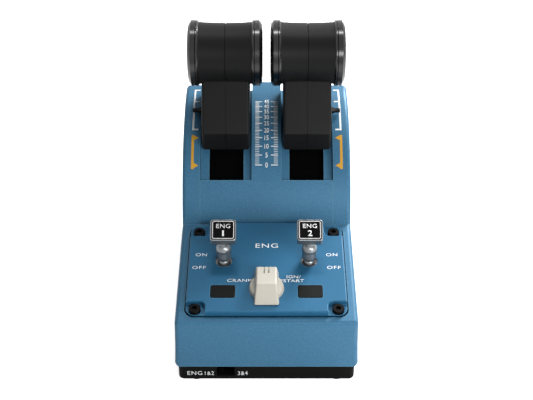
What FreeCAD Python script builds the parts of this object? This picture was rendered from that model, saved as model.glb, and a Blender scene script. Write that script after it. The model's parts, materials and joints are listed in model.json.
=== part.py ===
import FreeCAD, Part
import math
import os

# Throttle quadrant for a desk: two thrust levers over an arched quadrant, with an engine panel in front.
# Frame: +X right, +Y away from the pilot, +Z up, millimetres. The origin is on the table, under the middle.

V = FreeCAD.Vector

# ---- casing
LENGTH = 200.0              # front face to the foot of the rear cover
DECK_WIDTH = 125.0          # across the sides, above the front edge
FLARE = 1.5                 # how much each side widens towards the tray
FRONT_EDGE_Z = 55.4         # front top edge above the table
SEAM_Z = 15.7               # where the painted shells meet the tray
DECK_SLOPE = 9.5            # degrees, rising away from the pilot
REAR_LEAN = 4.55            # degrees, rear cover leaning forward
WALL = 2.5                  # moulded wall
EDGE_R = 3.0                # rounded outer edges of the shells
CORNER_CUT = 2.6            # cut lower corners of the front housing
FIT = 0.2                   # gap between neighbouring covers
TALL = 400.0                # beyond every part, for cutting bodies

# ---- quadrant arch, about the lever axle
PIVOT_TO_REAR = 13.0        # axle ahead of the casing's rear foot
PIVOT_Z = 36.4
QUAD_R = 99.5               # painted arch surface
STEP_PHI = 39.2             # where the foot plate ends and the slots start
SLOT_END_PHI = 84.0
COVER_HALF = 49.1           # half width of the quadrant cover and of the rear cover
SPINE_HALF = 11.0
SPINE_SHIFT = 8.0           # spine arc centre behind the axle, so that the spine climbs above the arch
FLOOR_DROP = 5.0            # slot frames below the arch surface
SLOT_IN = 17.05             # slot, from the middle plane
SLOT_OUT = 42.6
SKIRT = 2.0                 # thin inner walls

# ---- base tray
TRAY_SIDE = 0.7             # tray inside the deck's sides
TRAY_INSET = 1.2            # tray behind the front face
TRAY_Z = 2.5                # underside above the table
TRAY_CORNER = 4.0
LIP_H = 3.0
FOOT_X, FOOT_R = 49.5, 6.0
FOOT_IN = 8.3               # feet from the tray's ends
INSERT_X, INSERT_Y = 70.0, 100.0    # spacing of the threaded inserts
INSERT_R = 2.0
INSERT_H = 8.0
CASE_SCREW_IN = 6.5         # case screws inside the deck's sides
FRONT_SCREW_IN = 40.0       # and from the front face
SIDE_SCREW_IN = (70.0, 30.0)    # and from the rear foot
SCREW_R = 1.5
SCREW_HEAD_R = 3.2

# ---- control plate, in the deck's own frame: x, distance up the deck, height above it
PLATE_HALF = 55.3
PLATE_FRONT = 6.0
PLATE_REAR_GAP = 3.3        # plate short of the arch foot
PLATE_TOP = 5.0
PLATE_CORNER = 6.0
PLATE_GAP = 1.0             # dark joint round the plate
LEDGE_TOP = 1.2             # notched corners
NOTCH_X = 42.2
NOTCH_FRONT, NOTCH_REAR = 9.4, 13.4
NOTCH_R = 4.0
SEAT_H = -2.0               # plate's skirt rests here
SEAT_T = 2.5
PLATE_SCREW_X = 49.0
PLATE_SCREW_FRONT = 10.2
PLATE_SCREW_REAR = 11.45    # rear screws ahead of the arch foot
CAP_HEAD_R = 4.15
CAP_HEAD_H = 2.6

TOGGLE_X, TOGGLE_A = 30.2, 53.0
TOGGLE_TILT = 14.0          # rest position, degrees towards ON
TOGGLE_R = 5.1              # stem above the panel
BALL_R = 3.9                # its pivot
BALL_ROOM = 1.0             # round the stem's foot, inside the collar
COLLAR_R = 5.8
TOGGLE_HOLE_R = 6.0
TOGGLE_CAP_DIST = 24.9      # hinge to the middle of the cap
CAP_W, CAP_H, CAP_T = 18.0, 16.3, 7.0
CAP_TILT = 34.5             # cap face leaning from the stem towards the pilot
CAP_RIM = 1.7
INLAY_DEPTH = 0.4

KNOB_A = 26.8
KNOB_DISC_R = 12.25
KNOB_BAR_BASE = 31.4
KNOB_BAR_TOP = 16.2
KNOB_BAR_W, KNOB_BAR_TOP_W = 17.0, 14.2
KNOB_TOP = 18.4
GROOVE_L = 6.0              # pointer grooves at the bar's far end
KNOB_SHAFT_R = 3.0
RUN = 0.05                  # radial running clearance of shafts

BUTTON_X, BUTTON_A = 30.2, 24.1
BUTTON_W, BUTTON_L = 16.7, 11.3
BUTTON_PROUD = 0.3
BUTTON_TRAVEL = 0.8
BOARD_H = -7.4              # top of the switch board
BOARD_T = 1.6

SLIDE_X = -28.6             # middle of the slide switch window
SLIDE_W, SLIDE_H = 12.4, 8.6
SLIDE_Z = 10.2
NUB_W = 4.2

# ---- thrust levers
LEVER_X = 30.0              # lever plane from the middle
POINTER_PHI = 71.5          # rest position
DRUM_R = 22.6               # barrel at its ends
DRUM_WAIST = 0.7
DRUM_CLEAR = 46.6           # barrel axis above the arch surface
DRUM_PHI = 78.5
BARREL_HALF = 19.4
RING_R = 24.05
RING_W = 7.9
STALK_HALF = 17.55
STALK_EDGE_R = 1.8
BLOCK_CLEAR = 0.8           # handle above the arch surface
HANDLE_WALL = 2.4
PARTING_W, PARTING_D = 0.5, 0.6     # groove where the handle's halves meet
HUB_R = 7.5
HUB_HALF = 14.0
AXLE_R = 4.0
WEB_T = 6.0
NECK_HALF = 11.6
NECK_T = 8.0
TONGUE_HALF = 8.0
TONGUE_RISE = 24.5          # tongue above the arch surface
SHUTTER_DROP = 3.8          # shutter below the slot frames
SHUTTER_T = 1.5
SHUTTER_BEFORE, SHUTTER_AFTER = 39.2, 12.0
SECTOR_R = 62.0
SECTOR_T = 3.0
DETENTS = (45.8, 65.6, 71.5, 77.9)
ROLLER_R = 3.0
ROLLER_PHI = 20.0
GAP = 0.3                   # between pieces that move past each other
BORE_R = 8.2                # button bore in the outer ring
DISC_PROUD = 0.4
TRIGGER_W = 16.0

# ---- sockets, boards and small fittings
JACK_X, JACK_Z = 7.0, 58.4
JACK_W, JACK_H = 13.2, 11.4
JACK_MOUTH_W, JACK_MOUTH_H = 9.7, 6.7
USB_Z = 72.4
USB_W, USB_H = 9.0, 3.2
PORT_IN = 21.0              # port board ahead of the rear foot
REAR_SCREW_X = 42.0
REAR_SCREW_Z = (26.4, 114.4)
REAR_HEAD_R, REAR_HEAD_H = 2.6, 1.2
BOARD_HALF, BOARD_LENGTH = 28.0, 88.0
BOARD_FROM_FRONT, BOARD_Z = 66.0, 11.4
SENSOR_X = 37.4
FRICTION_R = 2.5
TACT_H = 6.9
TOGGLE_STEM_R = 2.0
CLAMP_R = 3.2
TRIGGER_TRAVEL = 6.0

# ---- worked out
Y0, Y1 = -LENGTH / 2, LENGTH / 2
HALF = DECK_WIDTH / 2
PIVOT_Y = Y1 - PIVOT_TO_REAR
SIN_S, COS_S = math.sin(math.radians(DECK_SLOPE)), math.cos(math.radians(DECK_SLOPE))
SIN_L, COS_L = math.sin(math.radians(REAR_LEAN)), math.cos(math.radians(REAR_LEAN))
TRAY_HALF = HALF - TRAY_SIDE
CASE_SCREW_X = HALF - CASE_SCREW_IN
FRONT_SCREW_Y = Y0 + FRONT_SCREW_IN
SIDE_SCREW_Y = tuple(Y1 - inward for inward in SIDE_SCREW_IN)
PORT_Y = Y1 - PORT_IN
BOARD_Y = Y0 + BOARD_FROM_FRONT
FLOOR_R = QUAD_R - FLOOR_DROP
SHUTTER_R = FLOOR_R - SHUTTER_DROP
TONGUE_TOP = QUAD_R + TONGUE_RISE
DRUM_DIST = QUAD_R + DRUM_CLEAR
BLOCK_R = QUAD_R + BLOCK_CLEAR
DRUM_Y = PIVOT_Y - DRUM_DIST * math.cos(math.radians(DRUM_PHI))
DRUM_Z = PIVOT_Z + DRUM_DIST * math.sin(math.radians(DRUM_PHI))
TRAY_Y0, TRAY_Y1 = Y0 + TRAY_INSET, Y1 - TRAY_INSET
TRAY_FLOOR = TRAY_Z + WALL
FOOT_Y = TRAY_Y1 - FOOT_IN
TOGGLE_H = PLATE_TOP - WALL / 2
PLATE_UNDER = PLATE_TOP - WALL


# ---- helpers
def block(x0, x1, y0, y1, z0, z1):
    """Box between two corners."""
    return Part.makeBox(x1 - x0, y1 - y0, z1 - z0, V(x0, y0, z0))


def rod(x0, x1, y, z, radius):
    """Cylinder along X."""
    return Part.makeCylinder(radius, x1 - x0, V(x0, y, z), V(1, 0, 0))


def post(x, y, z0, z1, radius):
    """Cylinder along Z."""
    return Part.makeCylinder(radius, z1 - z0, V(x, y, z0))


def prism(points, x0, x1):
    """Polygon of (y, z) points, extruded along X."""
    ring = [V(x0, y, z) for y, z in points]
    return Part.Face(Part.makePolygon(ring + ring[:1])).extrude(V(x1 - x0, 0, 0))


def join(first, *others):
    """One solid from pieces that touch or overlap."""
    return first.fuse(list(others)).removeSplitter()


def group(shapes):
    """Separate solids that share a node."""
    return Part.makeCompound(list(shapes))


def flip(shape):
    """The same piece on the other side of the middle plane."""
    return shape.mirror(V(0, 0, 0), V(1, 0, 0))


def across(point):
    """The same point on the other side of the middle plane."""
    return V(-point.x, point.y, point.z)


def both(shape):
    """A piece and its mirror image, as one node."""
    return group([shape, flip(shape)])


def edges(shape, test):
    """Edges whose middle point passes a test."""
    found = []
    for edge in shape.Edges:
        first, last = edge.ParameterRange
        if test(edge.valueAt((first + last) / 2)):
            found.append(edge)
    return found


def slab(x0, x1, y0, y1, z0, z1, radius):
    """Box with its upright corners rounded."""
    solid = block(x0, x1, y0, y1, z0, z1)
    upright = [e for e in solid.Edges if abs(e.tangentAt(0).z) > 0.9]
    return solid.makeFillet(radius, upright)


def polar(phi, radius):
    """(y, z) of a point of the quadrant: phi rises from the pilot's side, about the axle."""
    angle = math.radians(phi)
    return PIVOT_Y - radius * math.cos(angle), PIVOT_Z + radius * math.sin(angle)


def sector(r_in, r_out, phi0, phi1, x0, x1):
    """Ring sector about the axle, extruded along X."""
    def at(phi, radius):
        y, z = polar(phi, radius)
        return V(x0, y, z)

    middle = (phi0 + phi1) / 2
    wire = Part.Wire([
        Part.Arc(at(phi0, r_out), at(middle, r_out), at(phi1, r_out)).toShape(),
        Part.makeLine(at(phi1, r_out), at(phi1, r_in)),
        Part.Arc(at(phi1, r_in), at(middle, r_in), at(phi0, r_in)).toShape(),
        Part.makeLine(at(phi0, r_in), at(phi0, r_out)),
    ])
    return Part.Face(wire).extrude(V(x1 - x0, 0, 0))


def on_deck(shape):
    """Move a piece drawn in the deck's own frame to its place."""
    moved = shape.copy()
    deck = FreeCAD.Placement(V(0, Y0, FRONT_EDGE_Z), FreeCAD.Rotation(V(1, 0, 0), DECK_SLOPE))
    moved.Placement = deck.multiply(shape.Placement)
    return moved


def along_lever(points, x0, x1, phi=POINTER_PHI):
    """Polygon of (radius, across) points about the axle; across grows away from the pilot."""
    angle = math.radians(phi)
    ring = []
    for radius, across in points:
        y, z = polar(phi, radius)
        ring.append((y + across * math.sin(angle), z + across * math.cos(angle)))
    return prism(ring, x0, x1)


def line_meets_circle(y, z, dy, dz, radius, nearer):
    """Distance along a line from (y, z) to a circle about the axle."""
    oy, oz = y - PIVOT_Y, z - PIVOT_Z
    b = oy * dy + oz * dz
    root = math.sqrt(b * b - (oy * oy + oz * oz - radius * radius))
    return -b - root if nearer else -b + root


def casing_profile(inset, bottom):
    """Side outline of the casing, moved inwards by inset."""
    deck_y, deck_z = Y0 + inset * SIN_S, FRONT_EDGE_Z - inset * COS_S
    start = (inset * (1 - SIN_S)) / COS_S
    top = (deck_y + start * COS_S, deck_z + start * SIN_S)
    end = line_meets_circle(deck_y, deck_z, COS_S, SIN_S, QUAD_R - inset, True)
    foot = (deck_y + end * COS_S, deck_z + end * SIN_S)
    rear_y, rear_z = Y1 - inset * COS_L, SEAM_Z - inset * SIN_L
    climb = line_meets_circle(rear_y, rear_z, -SIN_L, COS_L, QUAD_R - inset, False)
    crest = (rear_y - climb * SIN_L, rear_z + climb * COS_L)
    low = (rear_y + (rear_z - bottom) * SIN_L / COS_L, bottom)
    middle = polar(55.0, QUAD_R - inset)
    wire = Part.Wire([
        Part.makeLine(V(0, Y0 + inset, bottom), V(0, *top)),
        Part.makeLine(V(0, *top), V(0, *foot)),
        Part.Arc(V(0, *foot), V(0, *middle), V(0, *crest)).toShape(),
        Part.makeLine(V(0, *crest), V(0, *low)),
        Part.makeLine(V(0, *low), V(0, Y0 + inset, bottom)),
    ])
    return Part.Face(wire)


def deck_length():
    """Front top edge to the foot of the arch, along the deck."""
    return line_meets_circle(Y0, FRONT_EDGE_Z, COS_S, SIN_S, QUAD_R, True)


def plate_rows():
    """Distances up the deck of the control plate's front and rear screws."""
    return PLATE_SCREW_FRONT, deck_length() - PLATE_SCREW_REAR


def foot_y():
    """Where the arch rises from the deck."""
    return Y0 + deck_length() * COS_S


def foot_phi():
    """The same place as an angle about the axle."""
    rise = FRONT_EDGE_Z + deck_length() * SIN_S - PIVOT_Z
    return math.degrees(math.asin(rise / QUAD_R))


def rear_y(z, inset=0.0):
    """Rear cover's face, or a plane inside it, at a height."""
    return Y1 - inset / COS_L - (z - SEAM_Z) * SIN_L / COS_L


def casing_block(inset, bottom, top=TALL):
    """Solid bounded by the casing's outline, seen from the side and from the front."""
    side = casing_profile(inset, bottom).extrude(V(2 * DECK_WIDTH, 0, 0))
    side.translate(V(-DECK_WIDTH, 0, 0))
    half = HALF - inset
    break_z = FRONT_EDGE_Z + 2 * EDGE_R
    drop = break_z - SEAM_Z
    radius = (drop * drop + FLARE * FLARE) / (2 * FLARE)
    turn = math.asin((break_z - bottom) / radius)

    def flare(angle):
        return V(half + radius * (1 - math.cos(angle)), -LENGTH, break_z - radius * math.sin(angle))

    lower = Part.Arc(flare(turn), flare(turn / 2), flare(0.0)).toShape()
    foot, shoulder, crown = flare(turn), flare(0.0), V(half, -LENGTH, top)
    wire = Part.Wire([
        lower,
        Part.makeLine(shoulder, crown),
        Part.makeLine(crown, across(crown)),
        Part.makeLine(across(crown), across(shoulder)),
        flip(lower),
        Part.makeLine(across(foot), foot),
    ])
    return side.common(Part.Face(wire).extrude(V(0, 2 * LENGTH, 0)))


def rounded_casing():
    """Outer form of the painted shells with its rounded edges."""
    solid = casing_block(0.0, SEAM_Z)
    break_z = FRONT_EDGE_Z + 2 * EDGE_R

    def on_side(point):
        on_break = abs(point.z - break_z) < 0.01 and Y0 + 0.1 < point.y < rear_y(point.z) - 0.1
        outer = abs(point.x) > HALF - 0.01 and point.z > SEAM_Z + 0.1 and not on_break
        return outer or (abs(point.y - Y0) < 0.01 and abs(point.z - FRONT_EDGE_Z) < 0.01)

    solid = solid.makeFillet(EDGE_R, edges(solid, on_side))
    for side in (-1, 1):
        foot_x = HALF + FLARE
        near, far = side * (foot_x - CORNER_CUT), side * (foot_x + 1)
        low = SEAM_Z - 0.01
        cut = [V(near, Y0 - 1, low), V(far, Y0 - 1, low), V(far, Y0 - 1, SEAM_Z + CORNER_CUT + 1)]
        solid = solid.cut(Part.Face(Part.makePolygon(cut + cut[:1])).extrude(V(0, 2 * WALL, 0)))
    return solid


def casing_shell():
    """Painted shells before they are parted: outer form less the room inside."""
    return rounded_casing().cut(casing_block(WALL, SEAM_Z - 1))


def shell_post(x, y, tie):
    """Screw post under a shell, tied to its side wall by a rib."""
    outer = HALF - WALL + 0.5
    side = math.copysign(1, x)
    column = post(x, y, SEAM_Z, SEAM_Z + tie, SCREW_HEAD_R + 1)
    low, high = sorted((x, side * outer))
    rib = block(low, high, y - SKIRT / 2, y + SKIRT / 2, SEAM_Z + LIP_H + 1, SEAM_Z + tie)
    return column.fuse(rib).cut(post(x, y, SEAM_Z - 1, SEAM_Z + tie - WALL, SCREW_R))


# ---- painted casing
def front_housing():
    """Front face, sloping deck and pedestal sides, with the recess for the control plate."""
    ahead = block(-DECK_WIDTH, DECK_WIDTH, -LENGTH, foot_y(), 0, TALL)
    solid = casing_shell().common(ahead)
    rear = deck_length() - PLATE_REAR_GAP
    half = PLATE_HALF + PLATE_GAP
    low, high = PLATE_FRONT - PLATE_GAP, rear + PLATE_GAP
    corner = PLATE_CORNER + PLATE_GAP
    opening = on_deck(slab(-half, half, low, high, -WALL - 2, 2, corner))
    seat = slab(-half - 1, half + 1, low - 1, high + 1, SEAT_H - SEAT_T, SEAT_H, corner)
    boss = 2 * CAP_HEAD_R
    seat = seat.cut(slab(-half + 5, half - 5, low + boss + 3, high - boss - 3, -9, 2, 2.0))
    seat = seat.cut(slab(-half + boss + 6, half - boss - 6, low + 5, high - 5, -9, 2, 2.0))
    for a in plate_rows():
        for x in (-PLATE_SCREW_X, PLATE_SCREW_X):
            seat = seat.cut(post(x, a, -9, 2, SCREW_R))
    solid = solid.cut(opening).fuse(on_deck(seat).common(casing_block(WALL - 0.5, SEAM_Z)))
    for x in (-CASE_SCREW_X, CASE_SCREW_X):
        solid = solid.fuse(shell_post(x, FRONT_SCREW_Y, 24))
    return solid.removeSplitter()


def side_shell():
    """Right side wall with its marking strip, rear return and inner skirt beside the slot frame."""
    edge = COVER_HALF + FIT
    behind = block(edge, DECK_WIDTH, foot_y(), LENGTH, 0, TALL)
    solid = casing_shell().common(behind)
    skirt = sector(FLOOR_R - WALL - 1, QUAD_R - 1, STEP_PHI, 110, edge, edge + SKIRT)
    solid = solid.fuse(skirt.common(casing_block(WALL - 0.5, SEAM_Z)))
    for y in SIDE_SCREW_Y:
        solid = solid.fuse(shell_post(CASE_SCREW_X, y, 24))
    return solid.removeSplitter()


def spine(shrink, half, phi0):
    """Raised spine between the levers, on an arc that climbs above the arch towards the rear."""
    centre_y, centre_z = polar(STEP_PHI, -SPINE_SHIFT)
    disc = rod(-half, half, centre_y, centre_z, QUAD_R + SPINE_SHIFT - shrink)
    near, far = QUAD_R - 40, QUAD_R + 60
    wedge = prism([polar(phi0, near), polar(phi0, far), (PIVOT_Y + near, PIVOT_Z + far),
                   (PIVOT_Y + near, PIVOT_Z + near)], -half, half)
    rear = prism([(rear_y(0, shrink), 0), (rear_y(TALL, shrink), TALL), (0, TALL), (0, 0)], -half, half)
    return disc.common(wedge).common(rear)


def quadrant_cover():
    """T-shaped cover: curved foot plate and the central spine with the scale."""
    plate = sector(QUAD_R - WALL, QUAD_R, foot_phi() + 0.15, STEP_PHI, -COVER_HALF, COVER_HALF)
    flange = sector(FLOOR_R + FIT, QUAD_R - 1, STEP_PHI - 1, STEP_PHI, -COVER_HALF, COVER_HALF)
    core = rod(-DECK_WIDTH, DECK_WIDTH, PIVOT_Y, PIVOT_Z, FLOOR_R - WALL)
    solid = spine(0, SPINE_HALF, STEP_PHI - 0.5).cut(core)
    solid = solid.cut(sector(QUAD_R, QUAD_R + 9, 20, STEP_PHI, -COVER_HALF, COVER_HALF))
    hollow = spine(WALL, SPINE_HALF - SKIRT, STEP_PHI + 2)
    return join(plate, flange, solid.cut(hollow))


def slot_frame():
    """Right-hand curved floor beside the spine, with the slot that the lever passes through."""
    inner = SPINE_HALF + FIT
    floor = sector(FLOOR_R - WALL, FLOOR_R, STEP_PHI - 5, 110, inner, COVER_HALF)
    floor = floor.common(casing_block(0, SEAM_Z))
    slot = sector(FLOOR_R - 9, FLOOR_R + 9, STEP_PHI, SLOT_END_PHI, SLOT_IN, SLOT_OUT)
    rib_r = FLOOR_R - WALL - 1.2
    rib = sector(rib_r, FLOOR_R - 1, SLOT_END_PHI + 1.5, SLOT_END_PHI + 3, inner, COVER_HALF)
    return join(floor.cut(slot), rib)


def rear_cover():
    """Leaning cover between the side shells, with the openings of the sockets."""
    climb = line_meets_circle(rear_y(SEAM_Z), SEAM_Z, -SIN_L, COS_L, FLOOR_R - WALL, False)
    top = SEAM_Z + climb * COS_L
    plate = prism([(rear_y(SEAM_Z), SEAM_Z), (rear_y(top), top), (rear_y(top, WALL), top),
                   (rear_y(SEAM_Z, WALL), SEAM_Z)], -COVER_HALF, COVER_HALF)
    for x in (-JACK_X, JACK_X):
        plate = plate.cut(block(x - JACK_W / 2 - GAP, x + JACK_W / 2 + GAP, 0, LENGTH,
                                JACK_Z - JACK_H / 2 - GAP, JACK_Z + JACK_H / 2 + GAP))
    half_w, half_h = USB_W / 2 + GAP, USB_H / 2 + GAP
    usb = slab(-half_w, half_w, -half_h, half_h, 0, LENGTH, USB_H / 2 - 0.1)
    usb.rotate(V(0, 0, 0), V(1, 0, 0), -90)
    usb.translate(V(0, 0, USB_Z))
    plate = plate.cut(usb)
    for x in (-REAR_SCREW_X, REAR_SCREW_X):
        for z in REAR_SCREW_Z:
            hole_y, head_y = rear_y(z) - 2 * WALL, rear_y(z) - REAR_HEAD_H - FIT
            plate = plate.cut(Part.makeCylinder(SCREW_R, 3 * WALL, V(x, hole_y, z), V(0, 1, 0)))
            plate = plate.cut(Part.makeCylinder(REAR_HEAD_R + FIT, WALL, V(x, head_y, z), V(0, 1, 0)))
    return plate


# ---- base
def base_tray():
    """Black tray with the front switch window, screw posts and threaded insert bosses."""
    solid = slab(-TRAY_HALF, TRAY_HALF, TRAY_Y0, TRAY_Y1, TRAY_Z, SEAM_Z, TRAY_CORNER)
    solid = solid.makeFillet(1.2, edges(solid, lambda p: abs(p.z - TRAY_Z) < 0.01))
    inner = TRAY_HALF - WALL
    room = slab(-inner, inner, TRAY_Y0 + WALL, TRAY_Y1 - WALL, TRAY_FLOOR, SEAM_Z + 9, TRAY_CORNER - 1)
    lip_x = HALF + FLARE - WALL - 2 * FIT
    lip = block(-lip_x, lip_x, Y0 + WALL + FIT, Y1 - WALL - 3 * FIT, SEAM_Z - WALL, SEAM_Z + LIP_H)
    lip = lip.cut(block(-lip_x + WALL, lip_x - WALL, Y0 + 2 * WALL, Y1 - 2 * WALL, 0, SEAM_Z + 9))
    solid = solid.cut(room).fuse(lip.common(casing_block(WALL + FIT / 2, SEAM_Z - WALL)))
    for x, y in screw_places():
        solid = solid.cut(post(x, y, SEAM_Z, SEAM_Z + LIP_H + 1, SCREW_HEAD_R + 1 + FIT))
        solid = solid.fuse(post(x, y, TRAY_Z + 1, SEAM_Z, SCREW_HEAD_R + 1))
        solid = solid.cut(post(x, y, 0, SEAM_Z + 9, SCREW_R))
        solid = solid.cut(post(x, y, 0, TRAY_Z + 2.6, SCREW_HEAD_R + GAP))
    for x, y in corners(INSERT_X / 2, INSERT_Y / 2):
        solid = solid.fuse(post(x, y, TRAY_Z + 1, TRAY_Z + INSERT_H + WALL, INSERT_R + 4))
        solid = solid.cut(post(x, y, 0, TRAY_Z + INSERT_H, INSERT_R + 1.5))
    for x, y in corners(FOOT_X, FOOT_Y):
        solid = solid.cut(post(x, y, 0, TRAY_Z + 1, FOOT_R + FIT))
    for x, y in corners(BOARD_HALF - 5, BOARD_LENGTH / 2 - 5):
        solid = solid.fuse(post(x, y + BOARD_Y, TRAY_FLOOR - 1, BOARD_Z, SKIRT))
    for x in (-LEVER_X, LEVER_X):
        solid = solid.fuse(post(x, PIVOT_Y, TRAY_FLOOR - 1, SEAM_Z - SKIRT, 5))
        solid = solid.cut(post(x, PIVOT_Y, 0, SEAM_Z, FRICTION_R + RUN))
    window = block(SLIDE_X - SLIDE_W / 2, SLIDE_X + SLIDE_W / 2, Y0 - 1, TRAY_Y0 + WALL + 1,
                   SLIDE_Z - SLIDE_H / 2, SLIDE_Z + SLIDE_H / 2)
    return solid.cut(window).removeSplitter()


def corners(x, y):
    """Four places of a rectangle about the middle."""
    return [(-x, -y), (x, -y), (-x, y), (x, y)]


def screw_places():
    """Case screws: two under the front housing, two under each side shell."""
    return [(x, y) for x in (-CASE_SCREW_X, CASE_SCREW_X) for y in (FRONT_SCREW_Y,) + SIDE_SCREW_Y]


def case_screws():
    """Screws from below into the shells, and those of the rear cover."""
    screws = []
    for x, y in screw_places():
        head = post(x, y, TRAY_Z + 0.4, TRAY_Z + 2.6, SCREW_HEAD_R)
        screws.append(head.fuse(post(x, y, TRAY_Z + 2.6, SEAM_Z + 14, SCREW_R)).removeSplitter())
    for x in (-REAR_SCREW_X, REAR_SCREW_X):
        for z in REAR_SCREW_Z:
            face = rear_y(z)
            stem = Part.makeCylinder(SCREW_R, 2 * WALL, V(x, face - 2.5 * WALL, z), V(0, 1, 0))
            head = Part.makeCylinder(REAR_HEAD_R, REAR_HEAD_H, V(x, face - REAR_HEAD_H - FIT, z), V(0, 1, 0))
            screws.append(stem.fuse(head).removeSplitter())
    return group(screws)


def rubber_feet():
    """Four round feet let into the tray."""
    feet = []
    for x, y in corners(FOOT_X, FOOT_Y):
        foot = post(x, y, 0, TRAY_Z + 1, FOOT_R)
        feet.append(foot.makeChamfer(0.5, edges(foot, lambda p: p.z < 0.01)))
    return group(feet)


def mount_inserts():
    """Threaded brass inserts for a desk mount."""
    rings = []
    for x, y in corners(INSERT_X / 2, INSERT_Y / 2):
        ring = post(x, y, TRAY_Z, TRAY_Z + INSERT_H, INSERT_R + 1.5)
        rings.append(ring.cut(post(x, y, 0, TRAY_Z + INSERT_H + 1, INSERT_R)))
    return group(rings)


# ---- control panel
def control_plate():
    """Raised panel with notched corners, pocketed below, pierced for switches and knob."""
    rear = deck_length() - PLATE_REAR_GAP
    solid = slab(-PLATE_HALF, PLATE_HALF, PLATE_FRONT, rear, SEAT_H, PLATE_TOP, PLATE_CORNER)
    far = 2 * PLATE_HALF
    for x0, x1 in ((NOTCH_X, far), (-far, -NOTCH_X)):
        for a0, a1 in ((-far, PLATE_FRONT + NOTCH_FRONT), (rear - NOTCH_REAR, far * 2)):
            solid = solid.cut(slab(x0, x1, a0, a1, LEDGE_TOP, PLATE_TOP + 9, NOTCH_R))
    top = [e for e in solid.Edges if abs(e.BoundBox.ZMin - PLATE_TOP) < 0.01]
    solid = solid.makeFillet(0.9, top)
    skirt = SKIRT + 0.2
    pocket = slab(-PLATE_HALF + skirt, PLATE_HALF - skirt, PLATE_FRONT + skirt, rear - skirt,
                  SEAT_H - 1, PLATE_UNDER, PLATE_CORNER - skirt)
    for x0, x1 in ((NOTCH_X - skirt, far), (-far, -NOTCH_X + skirt)):
        for a0, a1 in ((-far, PLATE_FRONT + NOTCH_FRONT + skirt), (rear - NOTCH_REAR - skirt, far * 2)):
            pocket = pocket.cut(block(x0, x1, a0, a1, SEAT_H - 2, PLATE_TOP))
    solid = solid.cut(pocket)
    for a in plate_rows():
        for x in (-PLATE_SCREW_X, PLATE_SCREW_X):
            solid = solid.cut(post(x, a, SEAT_H - 1, PLATE_TOP, SCREW_R))
    for x in (-TOGGLE_X, TOGGLE_X):
        solid = solid.cut(post(x, TOGGLE_A, 0, PLATE_TOP + 1, TOGGLE_HOLE_R))
    solid = solid.cut(post(0, KNOB_A, 0, PLATE_TOP + 1, KNOB_SHAFT_R + 1.5))
    for x in (-BUTTON_X, BUTTON_X):
        half_w, half_l = BUTTON_W / 2 + GAP, BUTTON_L / 2 + GAP
        a0, a1 = BUTTON_A - half_l, BUTTON_A + half_l
        solid = solid.cut(slab(x - half_w, x + half_w, a0, a1, 0, PLATE_TOP + 1, 1.5))
    for x, a in board_posts():
        solid = solid.fuse(post(x, a, BOARD_H, PLATE_UNDER + 0.5, SKIRT))
    return on_deck(solid.removeSplitter())


def board_posts():
    """Posts that hold the switch board under the plate."""
    return [(x, a) for x in (-45.0, 45.0) for a in (KNOB_A - 8, TOGGLE_A + 8)]


def plate_screws():
    """Cap screws in the notched corners of the control plate."""
    screws = []
    for a in plate_rows():
        for x in (-PLATE_SCREW_X, PLATE_SCREW_X):
            head = post(x, a, LEDGE_TOP, LEDGE_TOP + CAP_HEAD_H, CAP_HEAD_R)
            head = head.makeChamfer(0.5, edges(head, lambda p: p.z > LEDGE_TOP + CAP_HEAD_H - 0.01))
            stem = post(x, a, SEAT_H - SEAT_T - 3, LEDGE_TOP, SCREW_R)
            socket = Part.Face(hexagon(x, a, LEDGE_TOP + 1, 2.0)).extrude(V(0, 0, 9))
            screws.append(on_deck(head.fuse(stem).removeSplitter().cut(socket)))
    return group(screws)


def hexagon(x, y, z, radius):
    """Closed hexagonal wire."""
    turns = [k * math.pi / 3 for k in range(6)]
    ring = [V(x + radius * math.cos(turn), y + radius * math.sin(turn), z) for turn in turns]
    return Part.makePolygon(ring + ring[:1])


def toggle():
    """Right engine toggle: ball pivot, domed stem and wedge cap with a recessed legend face."""
    ball = Part.makeSphere(BALL_R)
    tail = post(0, 0, -12.5, 0, TOGGLE_STEM_R)
    root = Part.makeCone(BALL_R - 1.2, TOGGLE_R, 3.4, V(0, 0, 1.2))
    grip = post(0, 0, 4.6, 9.5, TOGGLE_R)
    dome = Part.makeSphere(TOGGLE_R + 0.35, V(0, 0, 11.0))
    neck = post(0, 0, 9.5, TOGGLE_CAP_DIST, 3.6)
    stem = ball.fuse([tail, root, grip, dome, neck]).removeSplitter()
    cap = block(-CAP_W / 2, CAP_W / 2, -CAP_H / 2, CAP_H / 2, -CAP_T / 2, CAP_T / 2)
    cap = cap.makeFillet(2.0, [e for e in cap.Edges if abs(e.tangentAt(0).z) > 0.9])
    cap = cap.makeFillet(0.8, [e for e in cap.Edges if abs(e.BoundBox.ZMin - CAP_T / 2) < 0.01])
    inlay = slab(-CAP_W / 2 + CAP_RIM, CAP_W / 2 - CAP_RIM, -CAP_H / 2 + CAP_RIM, CAP_H / 2 - CAP_RIM,
                 CAP_T / 2 - INLAY_DEPTH, CAP_T, 1.2)
    cap = cap.cut(inlay)
    cap.rotate(V(0, 0, 0), V(1, 0, 0), CAP_TILT)
    cap.translate(V(0, 0, TOGGLE_CAP_DIST))
    solid = stem.fuse(cap).removeSplitter()
    solid.rotate(V(0, 0, 0), V(1, 0, 0), -TOGGLE_TILT)
    solid.translate(V(TOGGLE_X, TOGGLE_A, TOGGLE_H))
    return on_deck(solid)


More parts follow.
